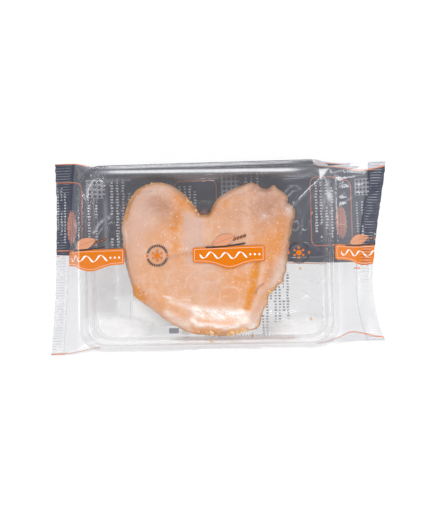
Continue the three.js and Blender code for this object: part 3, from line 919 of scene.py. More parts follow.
# Where flakes lie along the outline: from, to, how many and how long in millimetres.
FLAKE_STRETCHES = [
    ((13, -53), (27, -52), 14, 3.8), ((-14, -52), (10, -54), 4, 2.4),
    ((-58, 24), (-34, 52), 6, 1.8), ((-4, 30), (-16, 42), 7, 1.8),
    ((40, -32), (50, -19), 6, 2.4), ((57, 36), (59, 12), 3, 1.8),
]
CRUMBS = [(71.3, -45.2, 1.5), (64.9, -9.2, 1.4), (1.6, -58.4, 11.9), (1.2, -58.9, 12.3),
          (6.6, -55.2, 1.6), (30, -55.6, 1.8), (74, 30, 1.4)]
CRUMB_LEAST, CRUMB_MOST = (1.1, 0.8, 0.5), (2.2, 1.3, 0.8)


def flake_places(chance, rim_height):
    """Centres and sizes of the loose flakes, a little way in from the nearest outline point."""
    outline = palmier_outline()
    places, sizes = [], []
    for start, stop, count, size in FLAKE_STRETCHES:
        t = chance.random(count)[:, None]
        near = np.array(start) * (1 - t) + np.array(stop) * t
        step = np.hypot(*(near[:, None] - outline[None]).transpose(2, 0, 1)).argmin(1)
        inset = chance.uniform(0.2, 2.2, count)[:, None]
        places.append(outline[step] - outward(outline)[step] * inset)
        sizes.append(np.stack([size * chance.uniform(0.6, 1.7, count),
                               size * chance.uniform(0.3, 0.6, count),
                               chance.uniform(0.16, 0.3, count)], 1))
    x, y = np.concatenate(places).T
    z = pastry_top(x, y, depth_inside(x, y, outline), rim_height) + 0.35
    return np.stack([x, y, z], 1), np.concatenate(sizes)


def flake_shapes(chance, centres, sizes, tilt, seed):
    """Thin curled flakes: each a small grid, arched along its length, with ragged edges.

    Each is turned any way and tilted by chance. Returns the vertices and faces of all of them; a
    flake is a top and a bottom sheet joined round the edge.
    """
    nu, nv = 9, 6
    u, v = np.meshgrid(np.linspace(-1, 1, nu), np.linspace(-1, 1, nv), indexing="ij")
    n = len(centres)
    turns, tilts = (chance.uniform(low, high, n)[:, None, None]
                    for low, high in ((0, np.pi), (-tilt, tilt)))
    key = np.arange(n)[:, None, None] * 7.3 + seed
    length, width, thick = (sizes[:, k, None, None] for k in range(3))
    ragged = 1 + 0.35 * noise(2.2 * u + key, 2.2 * v, seed)
    x = length / 2 * u * (1 + 0.15 * noise(3 * v + key, 0 * u, 3)) * ragged
    y = width / 2 * v * (1 - 0.3 * u**2) * ragged
    arch = -0.35 * x**2 / length + 0.25 * width * noise(1.3 * u + key, 1.3 * v, seed + 5)
    half = thick / 2 * (1 - np.maximum(np.abs(u), np.abs(v)) ** 6 * 0.7)
    c, s = np.cos(turns), np.sin(turns)
    sheets = [np.stack([x * c - y * s, x * s + y * c, arch + z + x * np.sin(tilts)], -1)
              + centres[:, None, None, :] for z in (half, -half)]
    grid = np.arange(nu * nv).reshape(nu, nv)
    up = np.stack([grid[:-1, :-1], grid[1:, :-1], grid[1:, 1:], grid[:-1, 1:]], -1).reshape(-1, 4)
    border = np.concatenate([grid[:, 0], grid[-1, 1:], grid[-2::-1, -1], grid[0, -2:0:-1]])
    after = np.roll(border, -1)
    wall = np.stack([border, border + nu * nv, after + nu * nv, after], -1)
    one = np.concatenate([up, up[:, ::-1] + nu * nv, wall])
    faces = (one[None] + (np.arange(n) * 2 * nu * nv)[:, None, None]).reshape(-1, 4)
    return np.stack(sheets, 1).reshape(-1, 3), faces


# ---------------------------------------------------------------- finishes


class Wire:
    """A node's output that takes part in Python arithmetic; each operation adds a Math node."""

    def __init__(self, finish, socket):
        self.finish, self.socket = finish, socket

    def __add__(self, other):
        return self.finish.math("ADD", self, other)

    def __sub__(self, other):
        return self.finish.math("SUBTRACT", self, other)

    def __rsub__(self, other):
        return self.finish.math("SUBTRACT", other, self)

    def __mul__(self, other):
        return self.finish.math("MULTIPLY", self, other)

    def __truediv__(self, other):
        return self.finish.math("DIVIDE", self, other)

    def __pow__(self, other):
        return self.finish.math("POWER", self, other)

    def __gt__(self, other):
        return self.finish.math("GREATER_THAN", self, other)

    def __lt__(self, other):
        return self.finish.math("LESS_THAN", self, other)

    def __abs__(self):
        return self.finish.math("ABSOLUTE", self)

    __radd__, __rmul__ = __add__, __mul__


class Finish:
    """A material under construction."""

    def __init__(self, name):
        self.material = bpy.data.materials.new(name)
        self.material.use_nodes = True
        self.tree = self.material.node_tree
        self.tree.nodes.clear()

    def node(self, kind, settings=None, inputs=None, output=0):
        """Adds a node: its settings first, a ramp's stops among them, then its inputs' values."""
        node = self.tree.nodes.new(kind)
        for key, value in (settings or {}).items():
            if key == "stops":
                ramp = node.color_ramp.elements
                while len(ramp) < len(value):
                    ramp.new(0.5)
                for element, (place, colour) in zip(ramp, value):
                    element.position, element.color = place, (*colour, 1)
            else:
                setattr(node, key, value)
        for key, value in (inputs or {}).items():
            if isinstance(value, Wire):
                self.tree.links.new(value.socket, node.inputs[key])
            else:
                node.inputs[key].default_value = value
        return Wire(self, node.outputs[output]) if node.outputs else None

    def math(self, operation, *values):
        """A Math node's result."""
        return self.node("ShaderNodeMath", {"operation": operation}, dict(enumerate(values)))

    def larger(self, first, *others):
        """The largest of its values."""
        for other in others:
            first = self.math("MAXIMUM", first, other)
        return first

    def floor(self, a):
        """The whole number at or under a."""
        return self.math("FLOOR", a)

    def wrap(self, a, period):
        """What is left of a after whole periods."""
        return self.math("WRAP", a, period, 0.0)

    def far(self, a, b):
        """How far a step of a one way and b across it goes."""
        return self.math("SQRT", a ** 2.0 + b ** 2.0)

    def fade(self, a, one, nought):
        """1 where a is at one, 0 where it is at nought, and a smooth step between."""
        low, high, start, stop = (one, nought, 1.0, 0.0) if one < nought else (nought, one, 0.0, 1.0)
        return self.node("ShaderNodeMapRange", {"interpolation_type": "SMOOTHSTEP"},
                         {0: a, 1: low, 2: high, 3: start, 4: stop})

    def band(self, a, low, high, soft=0.12):
        """1 between low and high."""
        middle, half = (low + high) / 2, (high - low) / 2
        return self.fade(abs(a - middle), half - soft, half + soft)

    def mix(self, factor, a, b):
        """Colour a where factor is 0 and colour b where it is 1."""
        a, b = (v if isinstance(v, Wire) else (*v[:3], 1) for v in (a, b))
        return self.node("ShaderNodeMix", {"data_type": "RGBA", "clamp_factor": True},
                         {0: factor, 6: a, 7: b}, output=2)

    def painted(self, colour, *layers):
        """A colour with others laid over it in turn: each layer is its mask and its colour."""
        for mask, above in layers:
            colour = self.mix(mask, colour, above)
        return colour

    def place(self):
        """The place on the piece in metres, from the origin."""
        return self.node("ShaderNodeTexCoord", output="Object")

    def stretched(self, vector, x, y, z):
        """A place whose axes are scaled, so that a pattern on it is narrower along them."""
        return self.node("ShaderNodeMapping", None, {"Vector": vector, "Scale": (x, y, z)})

    def parts(self, vector):
        """A vector's three numbers."""
        split = self.node("ShaderNodeSeparateXYZ", None, {0: vector})
        return [Wire(self, out) for out in split.socket.node.outputs]

    def own(self, name):
        """The three numbers of a piece's own attribute."""
        return self.parts(self.node("ShaderNodeAttribute", {"attribute_name": name}, output="Vector"))

    def noise(self, vector, scale, detail=2.0, rough=0.5):
        """Soft noise from 0 to 1, scale features to a metre."""
        return self.node("ShaderNodeTexNoise", {"noise_dimensions": "3D"},
                         {"Vector": vector, "Scale": scale, "Detail": detail, "Roughness": rough})

    def speck(self, x, y, seed):
        """A random number for each whole-number cell."""
        cell = self.node("ShaderNodeCombineXYZ", None, {0: x, 1: y, 2: seed})
        return self.node("ShaderNodeTexWhiteNoise", {"noise_dimensions": "3D"}, {"Vector": cell})

    def bump(self, height, strength, distance, normal=None):
        """A normal that leans as if the surface rose by height times distance."""
        inputs = {"Height": height, "Strength": strength, "Distance": distance}
        if normal is not None:
            inputs["Normal"] = normal
        return self.node("ShaderNodeBump", None, inputs)

    def rounded_box(self, x, y, cx, cy, half_x, half_y, corner):
        """Signed distance to a rounded box: negative inside."""
        dx = abs(x - cx) - (half_x - corner)
        dy = abs(y - cy) - (half_y - corner)
        out = self.far(self.larger(dx, 0.0), self.larger(dy, 0.0))
        return out + self.math("MINIMUM", self.larger(dx, dy), 0.0) - corner

    def tile(self, *box):
        """1 inside a rounded box."""
        return self.fade(self.rounded_box(*box), -0.1, 0.1)

    def slant(self, normal):
        """0 where a surface is seen straight on, growing to 1 where it is seen edge-on."""
        return self.node("ShaderNodeLayerWeight", None, {"Blend": 0.5, "Normal": normal},
                         output="Facing")

    def mirror(self, normal, straight_on):
        """How much a thin clear sheet reflects: Schlick's fifth power, alike from both sides."""
        return self.slant(normal) ** 5.0 * (1.0 - straight_on) + straight_on

    def body(self, inputs):
        """A Principled shader with these inputs."""
        return self.node("ShaderNodeBsdfPrincipled", None, inputs)

    def glossed(self, body, normal, rough, share):
        """The finished material with a share of clear gloss over its body."""
        gloss = self.node("ShaderNodeBsdfGlossy", None,
                          {"Color": (1, 1, 1, 1), "Roughness": rough, "Normal": normal})
        return self.surface(self.node("ShaderNodeMixShader", None, {0: share, 1: body, 2: gloss}))

    def surface(self, shader):
        """The finished material with this shader."""
        self.node("ShaderNodeOutputMaterial", None, {"Surface": shader})
        return self.material


# The print's repeats, on top and under the pack, in millimetres.
FRONT_REPEAT, UNDER_REPEAT = 97.5, 97.4
# Columns of bars: start, pitch, count, from, to, thickness and seed.
SLATE_BARS = [(3.0, 3.6, 4, 12.0, 52.0, 2.3, 3.0), (50.5, 4.2, 4, 9.0, 58.0, 2.5, 9.0),
              (34.5, 4.6, 2, 10.0, 41.0, 2.3, 15.0)]
FINE_SLATE_BARS = 67.6, 3.0, 1, 8.0, 34.0, 1.2, 19.0
BADGE_BARS = 19.6, 2.1, 2, 14.0, 33.0, 0.8, 25.0
DARK_BARS = 36.8, 2.95, 7, -56.0, -12.0, 2.1, 31.0
FINE_DARK_BARS = -57.6, 4.0, 1, -50.0, -30.0, 0.9, 35.0
# Inks and casts that stay as they are, and the colours of painted highlights, glow and shade.
WHITE, BLACK = (1, 1, 1), (0, 0, 0)
LABEL_WHITE, PANEL_WHITE, PANEL_GLOW = srgb(250, 246, 244), srgb(255, 255, 252), (1, 1, 0.95)
BADGE_INK, BAR_INK, EDGE_STRIP = srgb(96, 80, 88), srgb(88, 92, 108), srgb(214, 212, 222)
PAINTED_HIGHLIGHT_WHITE, WORN_LIT_CREST, CRIMP_SHADE = srgb(246, 247, 250), srgb(206, 209, 220), srgb(30, 32, 42)
TRAY_DARK, TRAY_LIGHT, TRAY_SHADE_TINT = srgb(196, 198, 204), srgb(214, 215, 220), srgb(186, 156, 146)
GLAZE_SPECK = srgb(146, 62, 36)
LAYER_GAP, SOLE, SHADED_DOUGH = srgb(158, 92, 48), srgb(170, 104, 56), srgb(150, 92, 58)
DOUGH_STOPS = [(0.25, srgb(150, 84, 42)), (0.42, srgb(206, 136, 70)), (0.58, srgb(232, 176, 104)),
               (0.78, srgb(246, 216, 160))]
FLAKE_STOPS = [(0.3, srgb(214, 132, 54)), (0.5, srgb(236, 178, 96)), (0.72, srgb(250, 226, 182))]


def front_print(f, u, v, colours):
    """The print on top: a waved label, a leaf with seeds over it and a dashed badge, repeated.

    The label is a rounded box whose lower side swells as a bell curve, with a sine wave on it.
    Returns how much ink covers the film and its colour.
    """
    q = f.wrap(u + 9.6, FRONT_REPEAT)
    hump = f.math("EXPONENT", (abs(q - 25.6) / 10.0) ** 2.0 * -1.0)
    low, high = -4.6 - hump * 4.3, 5.9 + q * 0.014
    edge = f.rounded_box(q, v, 24.9, (low + high) * 0.5, 24.9, (high - low) * 0.5, 1.8)
    label = f.fade(edge, -0.12, 0.12)
    outline = f.band(edge, -1.45, -1.2, 0.15) * 0.6
    swing = f.math("SINE", q * 0.62) * 2.0 + 0.6 - hump * 0.8
    weight = f.math("SINE", q * 1.24 + 0.9) * 0.35 + 0.55
    wave = f.fade(abs(v - swing) - weight, -0.25, 0.2) * f.band(q, 5.0, 37.5, 0.4)
    dots = f.fade(f.far(f.wrap(q - 38.2, 3.1) - 1.55, v - 0.4), 0.55, 0.85)
    white = f.larger(outline, wave, dots * f.band(q, 38.2, 47.4, 0.1)) * label

    lx, ly = (q - 21.5) * 0.94 + (v - 10.4) * 0.34, (v - 10.4) * 0.94 - (q - 21.5) * 0.34
    leaf = f.fade(abs(ly) - (3.9 - lx * lx * 0.052), -0.15, 0.15)
    vein = f.fade(abs(ly), 0.12, 0.3) * leaf
    sweep_y = (q - 12.0) * (q - 12.0) * 0.0038 + 5.9
    sweep = f.fade(abs(v - sweep_y) - 0.62, -0.2, 0.12) * f.band(q, 9.0, 36.5, 0.5)
    seed = f.far(f.wrap(q - 28.0, 2.3) - 1.15, v - (q - 28.0) * 0.32 - 10.6)
    seeds = f.fade(seed, 0.95, 1.2) * f.band(q, 28.0, 37.2, 0.1)
    kernels = f.fade(seed, 0.35, 0.6) * seeds

    bx, by = q - 72.95, v - 0.9
    r, turn = f.far(bx, by), f.math("ARCTAN2", by, bx)
    tick = abs(f.wrap(turn * 5.6, 1.0) - 0.5)
    gaps = f.fade(abs(abs(bx) - 7.0), 0.9, 1.5) * f.fade(abs(by), 1.2, 2.0)
    ring = f.band(r, 6.0, 7.7, 0.12) * f.fade(tick, 0.28, 0.36) * (1.0 - gaps)
    side_dots = f.fade(f.far(abs(bx) - 7.0, by), 0.65, 0.95)
    heart = f.fade(r, 1.7, 2.1)
    petals = f.band(r, 2.6, 4.1, 0.15) * f.fade(abs(f.wrap(turn * 0.955, 1.0) - 0.5), 0.16, 0.24)

    cover = f.larger(label, leaf, sweep, seeds, ring, side_dots, heart, petals)
    return cover, f.painted(
        colours.label, (leaf, colours.leaf), (label, colours.label),
        (f.larger(sweep, seeds, ring, vein * 0.3), colours.ink), (kernels, colours.label),
        (white, LABEL_WHITE))


def lines_of_bars(f, p, v, start, pitch, count, low, high, thick, seed):
    """Columns of short bars: each cell's bar starts and stops by chance, with gaps between."""
    lane = (p - start) / pitch
    column = f.floor(lane)
    across = (lane - column) * (pitch / thick)
    run = v / 2.05
    cell = f.floor(run)
    begin = f.speck(cell, column, seed) * 0.3
    word = f.speck(f.floor(v / 8.2 + column * 0.37), column, seed + 5.0) > 0.12
    stop = f.speck(cell, column, seed + 2.0) * 0.35 + 0.68
    solid = (run - cell) < f.speck(cell, column, seed + 7.0) * 0.2 + 0.42
    field = f.band(p, start, start + pitch * count - 0.01, 0.05) * f.band(v, low, high, 0.05)
    return field * (across > begin) * (across < stop) * word * solid


def white_ink(f, x, v):
    """The white panel and the small white block in the print under the pack."""
    panel = f.tile(x, v, -20.0, -26.0, 35.4, 22.2, 8.0)
    return panel, f.tile(x, v, -18.0, -53.4, 3.0, 1.5, 0.4)


def back_print(f, x, v, back_fold, front_fold, colours):
    """The print under the pack: a slate field with pale bars and frames, and a clear half.

    The slate field's marks repeat along the pack, and the clear half's stand once. Returns how
    much ink covers the film and its colour.
    """
    ends = f.fade(abs(x), 110.0, 96.0)
    edge = v - (3.4 - (x + 106.0) * 0.047)
    slate = f.fade(edge, 0.15, -0.15) * f.fade(back_fold, 0.1, -0.1)
    p = f.wrap(x + 24.4, UNDER_REPEAT)
    frame_line = f.band(f.rounded_box(p, v, 15.4, 31.2, 15.4, 24.8, 4.5), -0.7, 0.0)
    bars = f.larger(*(lines_of_bars(f, p, v, *row) for row in SLATE_BARS),
                    lines_of_bars(f, p, v, *FINE_SLATE_BARS) * 0.6)
    bars = bars * (1.0 - (x > 117.0) * (v > 26.0)) * (1.0 - ends * 0.4)
    weave = abs(f.wrap(p, 3.3) - 1.65) + abs(f.wrap(v, 3.3) - 1.65)
    weave = f.larger(f.band(weave, 1.0, 1.7, 0.1), f.fade(weave, 0.5, 0.7)) * 0.8
    block = f.tile(p, v, 40.4, 51.4, 6.6, 6.6, 1.4) * weave * (1.0 - ends * 0.3)
    bx, by = (p - 21.6) / 4.6, (v - 23.5) / 12.5
    scallop = f.math("SINE", f.math("ARCTAN2", by, bx) * 18.0) * 0.085 + 0.93
    badge = f.fade(f.far(bx, by) - scallop, -0.02, 0.02)
    badge_bars = lines_of_bars(f, p, v, *BADGE_BARS) * badge
    pale = f.larger(bars, block) * (1.0 - badge)

    row = f.band(v, -56.2, -55.2, 0.1) * f.fade(abs(f.wrap(x, 2.1) - 1.05), 0.4, 0.65)
    dark = f.larger(lines_of_bars(f, x, v, *DARK_BARS),
                    lines_of_bars(f, x, v, *FINE_DARK_BARS) * 0.6,
                    row * f.band(x, -4.0, 54.0) * 0.8,
                    f.tile(x, v, -26.1, -51.8, 3.6, 1.9, 0.6))
    panel, white_block = white_ink(f, x, v)
    strip = f.larger(f.fade(back_fold, -0.4, 0.2), f.fade(front_fold, -0.4, 0.2) * 0.75)
    thin = f.larger(
        f.band(back_fold, -0.45, 0.45), f.band(front_fold, -0.4, 0.4),
        f.band(edge, -1.15, -0.55) * f.band(f.wrap(x + 8.0, UNDER_REPEAT), 64.0, 90.0, 0.2),
        f.band(x, 104.0, 110.0) * f.band(v, -11.6, -10.6, 0.1))

    cover = f.larger(slate, thin, strip * 0.55, dark * 0.8, panel * 0.6, white_block)
    return cover, f.painted(
        colours.film, (f.larger(panel, white_block), PANEL_WHITE), (slate, colours.slate),
        (pale * slate, colours.pale_ink), (badge * slate, colours.badge),
        (badge_bars * slate, BADGE_INK), (dark, BAR_INK), (strip * (1.0 - slate), EDGE_STRIP),
        (f.larger(frame_line * slate * 0.85, thin), colours.fold))


def film_finish(name, colours, front=False, back=False, crimped=False):
    """Clear film with ink: haze and ink by alpha, under a clear gloss that grows edge-on.

    Crimped film has its crests painted pale, partly wear and partly painted highlight, and painted
    shade in its valleys. Plain film is whitened by painted highlights and reflections along its
    creases, folds and rim, and is clearer where it is pressed on the glaze; its white ink is given a
    painted glow, as if lit through from a pale table, which fades out near the palmier as painted
    shade.
    """
    f = Finish(name)
    u, v, x = f.own("print_place")
    back_fold, front_fold, white = f.own("fold_place")
    place = f.place()
    cover = f.noise(place, 60.0, 3.0) * 0.05 + colours.haze + f.fade(abs(x), 96.0, 89.0) * 0.08
    ink, glow = colours.film, (*BLACK, 1)
    if not crimped:
        pressed = f.own("pressed")[0]
        # Painted highlights: the film is whitened and made less clear where highlights and
        # reflections are painted along its creases, folds and rim.
        painted_highlight_share = white * (f.noise(place, 700.0, 2.0) * 0.5 + 0.75)
        cover = cover * (1.0 - pressed * 0.8) + painted_highlight_share * 0.62
        ink = f.mix(painted_highlight_share, ink, PAINTED_HIGHLIGHT_WHITE)
    if back:
        back_cover, back_ink = back_print(f, x, v, back_fold, front_fold, colours)
        ink = f.mix(back_cover, ink, back_ink)
        cover = f.larger(cover, back_cover * 0.97)
    # Painted light: the white ink glows as if lit through from the floor, at the front only, and the
    # glow fades out near the palmier as painted shade.
    if back and not crimped:
        lit = f.fade(f.far(x - 9.0, v - 20.0), 83.0, 75.5) * f.fade(v, -36.0, -14.0)
        glow = f.mix(f.larger(*white_ink(f, x, v)) * lit, BLACK, PANEL_GLOW)
    if front:
        front_cover, front_ink = front_print(f, u, v, colours)
        ink = f.mix(front_cover, ink, front_ink)
        cover = f.larger(cover, front_cover * 0.96)
    crinkle = f.noise(f.stretched(place, 1, 1.7, 1), 95.0, 3.0)
    if crimped:
        crimp = f.own("crimp")[0]
        # Crests painted pale, partly wear and partly painted highlight, more on the right seal;
        # valleys darkened with painted shade.
        worn_and_lit = f.fade(crimp, 1.0, 0.35) * f.fade(f.noise(place, 160.0, 3.0), 0.56, 0.38)
        ink = f.painted(ink, (worn_and_lit * ((x > 0.0) * 0.2 + 0.22), WORN_LIT_CREST),
                        (f.fade(crimp, -1.0, 0.2) * 0.42, CRIMP_SHADE))
        cover = f.larger(cover, worn_and_lit * 0.3 + 0.14)
    else:
        crinkle = crinkle * (1.0 - pressed * 0.75)
    normal = f.bump(crinkle, 0.22, 0.0012, f.bump(f.noise(place, 420.0, 2.0), 0.1, 0.0002))
    body = f.body({"Base Color": ink, "Roughness": 0.5, "IOR": 1.45, "Specular IOR Level": 0.15,
                   "Alpha": cover, "Normal": normal,
                   "Emission Color": glow, "Emission Strength": 0.36})
    return f.glossed(body, normal, 0.14,
                     f.mirror(normal, 0.055) * (0.45 if crimped else 1.0 - pressed * 0.45))


def tray_finish():
    """Clear plastic: see-through with a grey cast where it is seen edge-on, and a gloss, with a
    painted reflection that glows a little and a painted shade tint.
    """
    f = Finish("tray_plastic")
    place = f.place()
    normal = f.bump(f.noise(place, 130.0, 2.0), 0.08, 0.001)
    gleam, painted_shade_tint, _ = f.own("gleam")
    gleam = gleam * (f.noise(place, 90.0, 2.0) * 0.5 + 0.6)
    cast = f.fade(f.slant(normal), 1.0, 0.3) * 0.24 + 0.008 + f.noise(place, 40.0) * 0.012
    tint = f.mix(f.noise(place, 30.0), TRAY_DARK, TRAY_LIGHT)
    body = f.body({"Base Color": f.painted(tint, (painted_shade_tint, TRAY_SHADE_TINT), (gleam * 3.0, WHITE)),
                   "Roughness": 0.2, "Alpha": f.larger(cast + painted_shade_tint * 0.28, gleam * 0.9),
                   "Normal": normal,
                   # The painted reflection also glows a little.
                   "Emission Color": f.mix(gleam, BLACK, WHITE), "Emission Strength": 0.14})
    return f.glossed(body, normal, 0.06, f.mirror(normal, 0.03) * 0.7)


def glaze_finish(colours):
    """Sugar glaze: tan where it is thin, milky where it is thick, with caramel, painted shade, and a
    painted sheen band and white glints as highlights.
    """
    f = Finish("sugar_glaze")
    place = f.place()
    pale, warm, ochre = f.own("tone_a")
    shade, painted_sheen, touch = f.own("tone_b")
    spots, edge, _ = f.own("tone_c")
    slow, middling = f.noise(place, 50.0, 3.0) - 0.5, f.noise(place, 150.0, 4.0, 0.6) - 0.5
    fast, grit = f.noise(place, 330.0, 4.0, 0.6) - 0.5, f.noise(place, 900.0, 2.0) - 0.5
    uneven = slow * 1.5 + middling * 1.5 + fast * 0.9
    browned = warm * (0.85 + uneven * 1.3 + grit * 1.2)
    streaky = f.noise(f.stretched(place, 1, 2.6, 1), 120.0, 4.0, 0.6) - 0.5
    painted_glints = f.fade(f.noise(place, 620.0, 1.0), 0.74, 0.66) * (0.45 + warm * 0.5)
    colour = f.painted(
        colours.glaze,
        (0.5 + uneven * 1.7, colours.glaze_deep),
        (pale * (0.85 + uneven * 0.9), colours.glaze_pale),
        (browned, colours.baked),
        (f.fade(browned, 1.15, 0.7) * 0.6, colours.ochre),
        (touch * 0.5, colours.touch),
        # Painted shade in hollows and on the right lobe.
        (shade * (0.8 + uneven), colours.shade),
        # Painted highlight: the sheen band, streaked and mottled.
        (painted_sheen * (0.85 + streaky * 2.6 + middling * 2.2 + grit * 1.8), colours.painted_sheen),
        (edge * (0.65 + fast * 2.0) * (1.0 - painted_sheen) * 0.6, colours.baked),
        (ochre * (1.1 + uneven * 1.2), colours.ochre),
        # Painted highlight: small white glints.
        (painted_glints * 0.6, colours.painted_sheen),
        (f.fade(middling + grit * 0.35, 0.2, 0.06) * 0.45, colours.glaze_pale),
        (spots * 0.85, GLAZE_SPECK))
    height = f.noise(place, 170.0, 3.0) + fast * warm * 0.8
    rough = 0.36 + warm * 0.12 + fast * 0.2 - touch * 0.1 + edge * 0.35 + ochre * 0.2
    return f.surface(f.body({
        "Base Color": colour, "Roughness": rough, "IOR": 1.45,
        "Normal": f.bump(height, 0.3, 0.0006, f.bump(grit, 0.15, 0.0002)),
        "Subsurface Weight": 0.12, "Subsurface Radius": (1.0, 0.5, 0.25),
        "Subsurface Scale": 0.002, "Coat Weight": 0.25 - ochre * 0.2, "Coat Roughness": 0.18}))


def pastry_finish(colours):
    """Baked puff pastry: golden flakes on the edge, browner between the layers and beneath."""
    f = Finish("baked_pastry")
    place = f.place()
    height, ochre = f.parts(place)[2], f.own("tone_a")[2]
    shade, side = f.own("tone_b")[0], f.own("tone_c")[1]
    leaf = f.noise(f.stretched(place, 1, 1, 9), 150.0, 3.0, 0.6)
    flake = f.noise(place, 420.0, 4.0, 0.65)
    baked = flake * 0.6 + leaf * 0.5 + f.noise(place, 70.0, 2.0) * 0.25 - 0.2
    colour = f.painted(
        f.node("ShaderNodeValToRGB", {"stops": DOUGH_STOPS}, {0: baked}),
        (side * f.fade(leaf, 0.42, 0.56) * 0.7, LAYER_GAP),
        (f.fade(height, 0.003, 0.007) * 0.6, SOLE),
        # Painted shade, the same as on the glaze.
        (shade * 0.75, SHADED_DOUGH), (ochre * 0.7, colours.ochre))
    return f.surface(f.body({
        "Base Color": colour, "Roughness": 0.5 + flake * 0.2,
        "Normal": f.bump(flake + leaf * side, 0.6, 0.0008), "Subsurface Weight": 0.06,
        "Subsurface Radius": (1.0, 0.4, 0.2), "Subsurface Scale": 0.001}))


def flake_finish():
    """Loose flakes: golden to cream, each piece uneven."""
    f = Finish("golden_flakes")
    place = f.place()
    coarse, fine = f.noise(place, 230.0, 1.0), f.noise(place, 900.0, 3.0)
    colour = f.node("ShaderNodeValToRGB", {"stops": FLAKE_STOPS}, {0: coarse * 0.8 + fine * 0.25})
    return f.surface(f.body({"Base Color": colour, "Roughness": 0.35 + fine * 0.25,
                             "Normal": f.bump(fine, 0.4, 0.0004)}))


def floor_finish(colour, glow):
    """Plain pale floor that is softly lit from within, as a product table is."""
    f = Finish("pale_floor")
    tint = f.mix(f.noise(f.place(), 3.0, 2.0), colour, [c * 0.985 for c in colour])
    return f.surface(f.body({
        "Base Color": tint, "Roughness": 0.8, "Specular IOR Level": 0.2,
        "Emission Color": (*WHITE, 1), "Emission Strength": glow}))


# ---------------------------------------------------------------- what a user may change


def length_property(name, description, millimetres):
    """A size that a user may change, given in millimetres and kept in metres."""
    return FloatProperty(name=name, description=description, default=millimetres * MM,
                         min=0.0, unit="LENGTH", subtype="DISTANCE")


def colour_property(name, description, colour):
    """A colour that a user may change, in scene-linear values."""
    return FloatVectorProperty(name=name, description=description, default=colour, size=3,
                               min=0.0, max=1.0, subtype="COLOR")


class PackSizes(PropertyGroup):
    rim_length: length_property("Rim length", "Film's outer length over the tray's rim", 181)
    rim_width: length_property("Rim width", "Film's outer width over the tray's rim", 130.5)
    rim_height: length_property("Rim height", "Film's outer face over the tray's rim", 20.5)
    tray_wall: length_property("Tray wall", "Thickness of the tray's plastic", 0.35)


class FilmColours(PropertyGroup):
    haze: FloatProperty(name="Haze", description="How milky the clear film is", default=0.075,
                        min=0.0, max=1.0, subtype="FACTOR")
    film: colour_property("Film", "Cast of the clear film", srgb(172, 173, 182))
    label: colour_property("Label", "Orange of the waved label", srgb(218, 117, 6))
    leaf: colour_property("Leaf", "Peach of the leaf over the label", srgb(214, 150, 116))
    ink: colour_property("Ink", "Dark lines and dashes", srgb(52, 48, 52))
    slate: colour_property("Slate", "Dark field under the pack", srgb(68, 71, 86))
    pale_ink: colour_property("Pale bars", "Bars on the dark field", srgb(224, 224, 230))
    badge: colour_property("Badge", "Scalloped badge on the dark field", srgb(188, 128, 112))
    fold: colour_property("Fold line", "Thin lines and frames", srgb(226, 132, 84))


class PalmierColours(PropertyGroup):
    glaze: colour_property("Glaze", "Glaze over most of the top", srgb(220, 178, 154))
    glaze_deep: colour_property("Deep glaze", "Glaze where the dough shows through",
                                srgb(218, 158, 112))
    glaze_pale: colour_property("Pale glaze", "Thick pinkish glaze", srgb(206, 174, 162))
    # Painted highlight: the colour of the sheen band and the white glints on the glaze.
    painted_sheen: colour_property("Milky glaze", "Whitest bloom", srgb(248, 238, 233))
    touch: colour_property("Pressed glaze", "Glaze that the film is pressed on",
                           srgb(216, 152, 104))
    baked: colour_property("Baked", "Browned dough through thin glaze", srgb(220, 148, 88))
    ochre: colour_property("Caramel", "Caramelised sugar", srgb(214, 134, 22))
    # Painted shade: the colour that hollows and the right lobe are darkened with.
    shade: colour_property("Shade", "Dull hollows", srgb(172, 122, 94))


class StageSettings(PropertyGroup):
    floor: colour_property("Floor", "Colour of the floor", (0.25, 0.25, 0.25))
    glow: FloatProperty(name="Glow", description="Light that the floor gives by itself",
                        default=0.78, min=0.0)
    sky: FloatProperty(name="Sky", description="Brightness of the surroundings", default=0.8,
                       min=0.0)
    lamps: FloatProperty(name="Lamps", description="Power of each soft lamp", default=2.4,
                         min=0.0, unit="POWER")


# ---------------------------------------------------------------- operators

# The tray's lip lies this far under the film's outer face.
TRAY_GAP = 0.5
# The film's edges that are sharper than this turn in degrees are shaded as edges.
SHARP_TURN = 50
# The floor's half width, and its level just under the pack.
FLOOR_HALF, FLOOR_LEVEL = 3000, -0.2
# Soft lamps: name, place in metres, width, height and share of the lamps' power.
LAMPS = [
    ("back_lamp", (-0.1, 0.64, 0.6), 0.6, 0.18, 1.1),
    ("front_lamp", (0.15, -0.54, 0.56), 0.5, 0.2, 1.5),
    ("left_lamp", (-0.66, 0, 0.5), 0.2, 0.4, 0.6),
    ("right_lamp", (0.62, 0.2, 0.5), 0.2, 0.34, 0.7),
]
# The sky: how high up, and how bright. It is bright low down and nearly dark overhead.
SKY_STOPS = (0.35, 1.0), (0.97, 0.12)
# The camera's place in metres, its turn about x, y and z in degrees, and its lens in millimetres.
CAMERA_PLACE, CAMERA_TURN = (0.04287, -0.03114, 0.55), (2.9698, 3.8905, -1.101)
LENS, SENSOR = 53.38, 36


class PALMIER_OT_tray(Operator):
    """Builds the clear tray"""

    bl_idname = "palmier.tray"
    bl_label = "Tray"

    def execute(self, context):
        sizes = context.scene.palmier_sizes
        tray = shell("tray", *tray_shape(sizes.rim_length / MM, sizes.rim_width / MM,
                                         sizes.rim_height / MM - TRAY_GAP))
        wall = tray.modifiers.new("wall", "SOLIDIFY")
        wall.thickness = sizes.tray_wall
        wall.offset = -1
        finish_piece(tray, [tray_finish()])
        return {"FINISHED"}


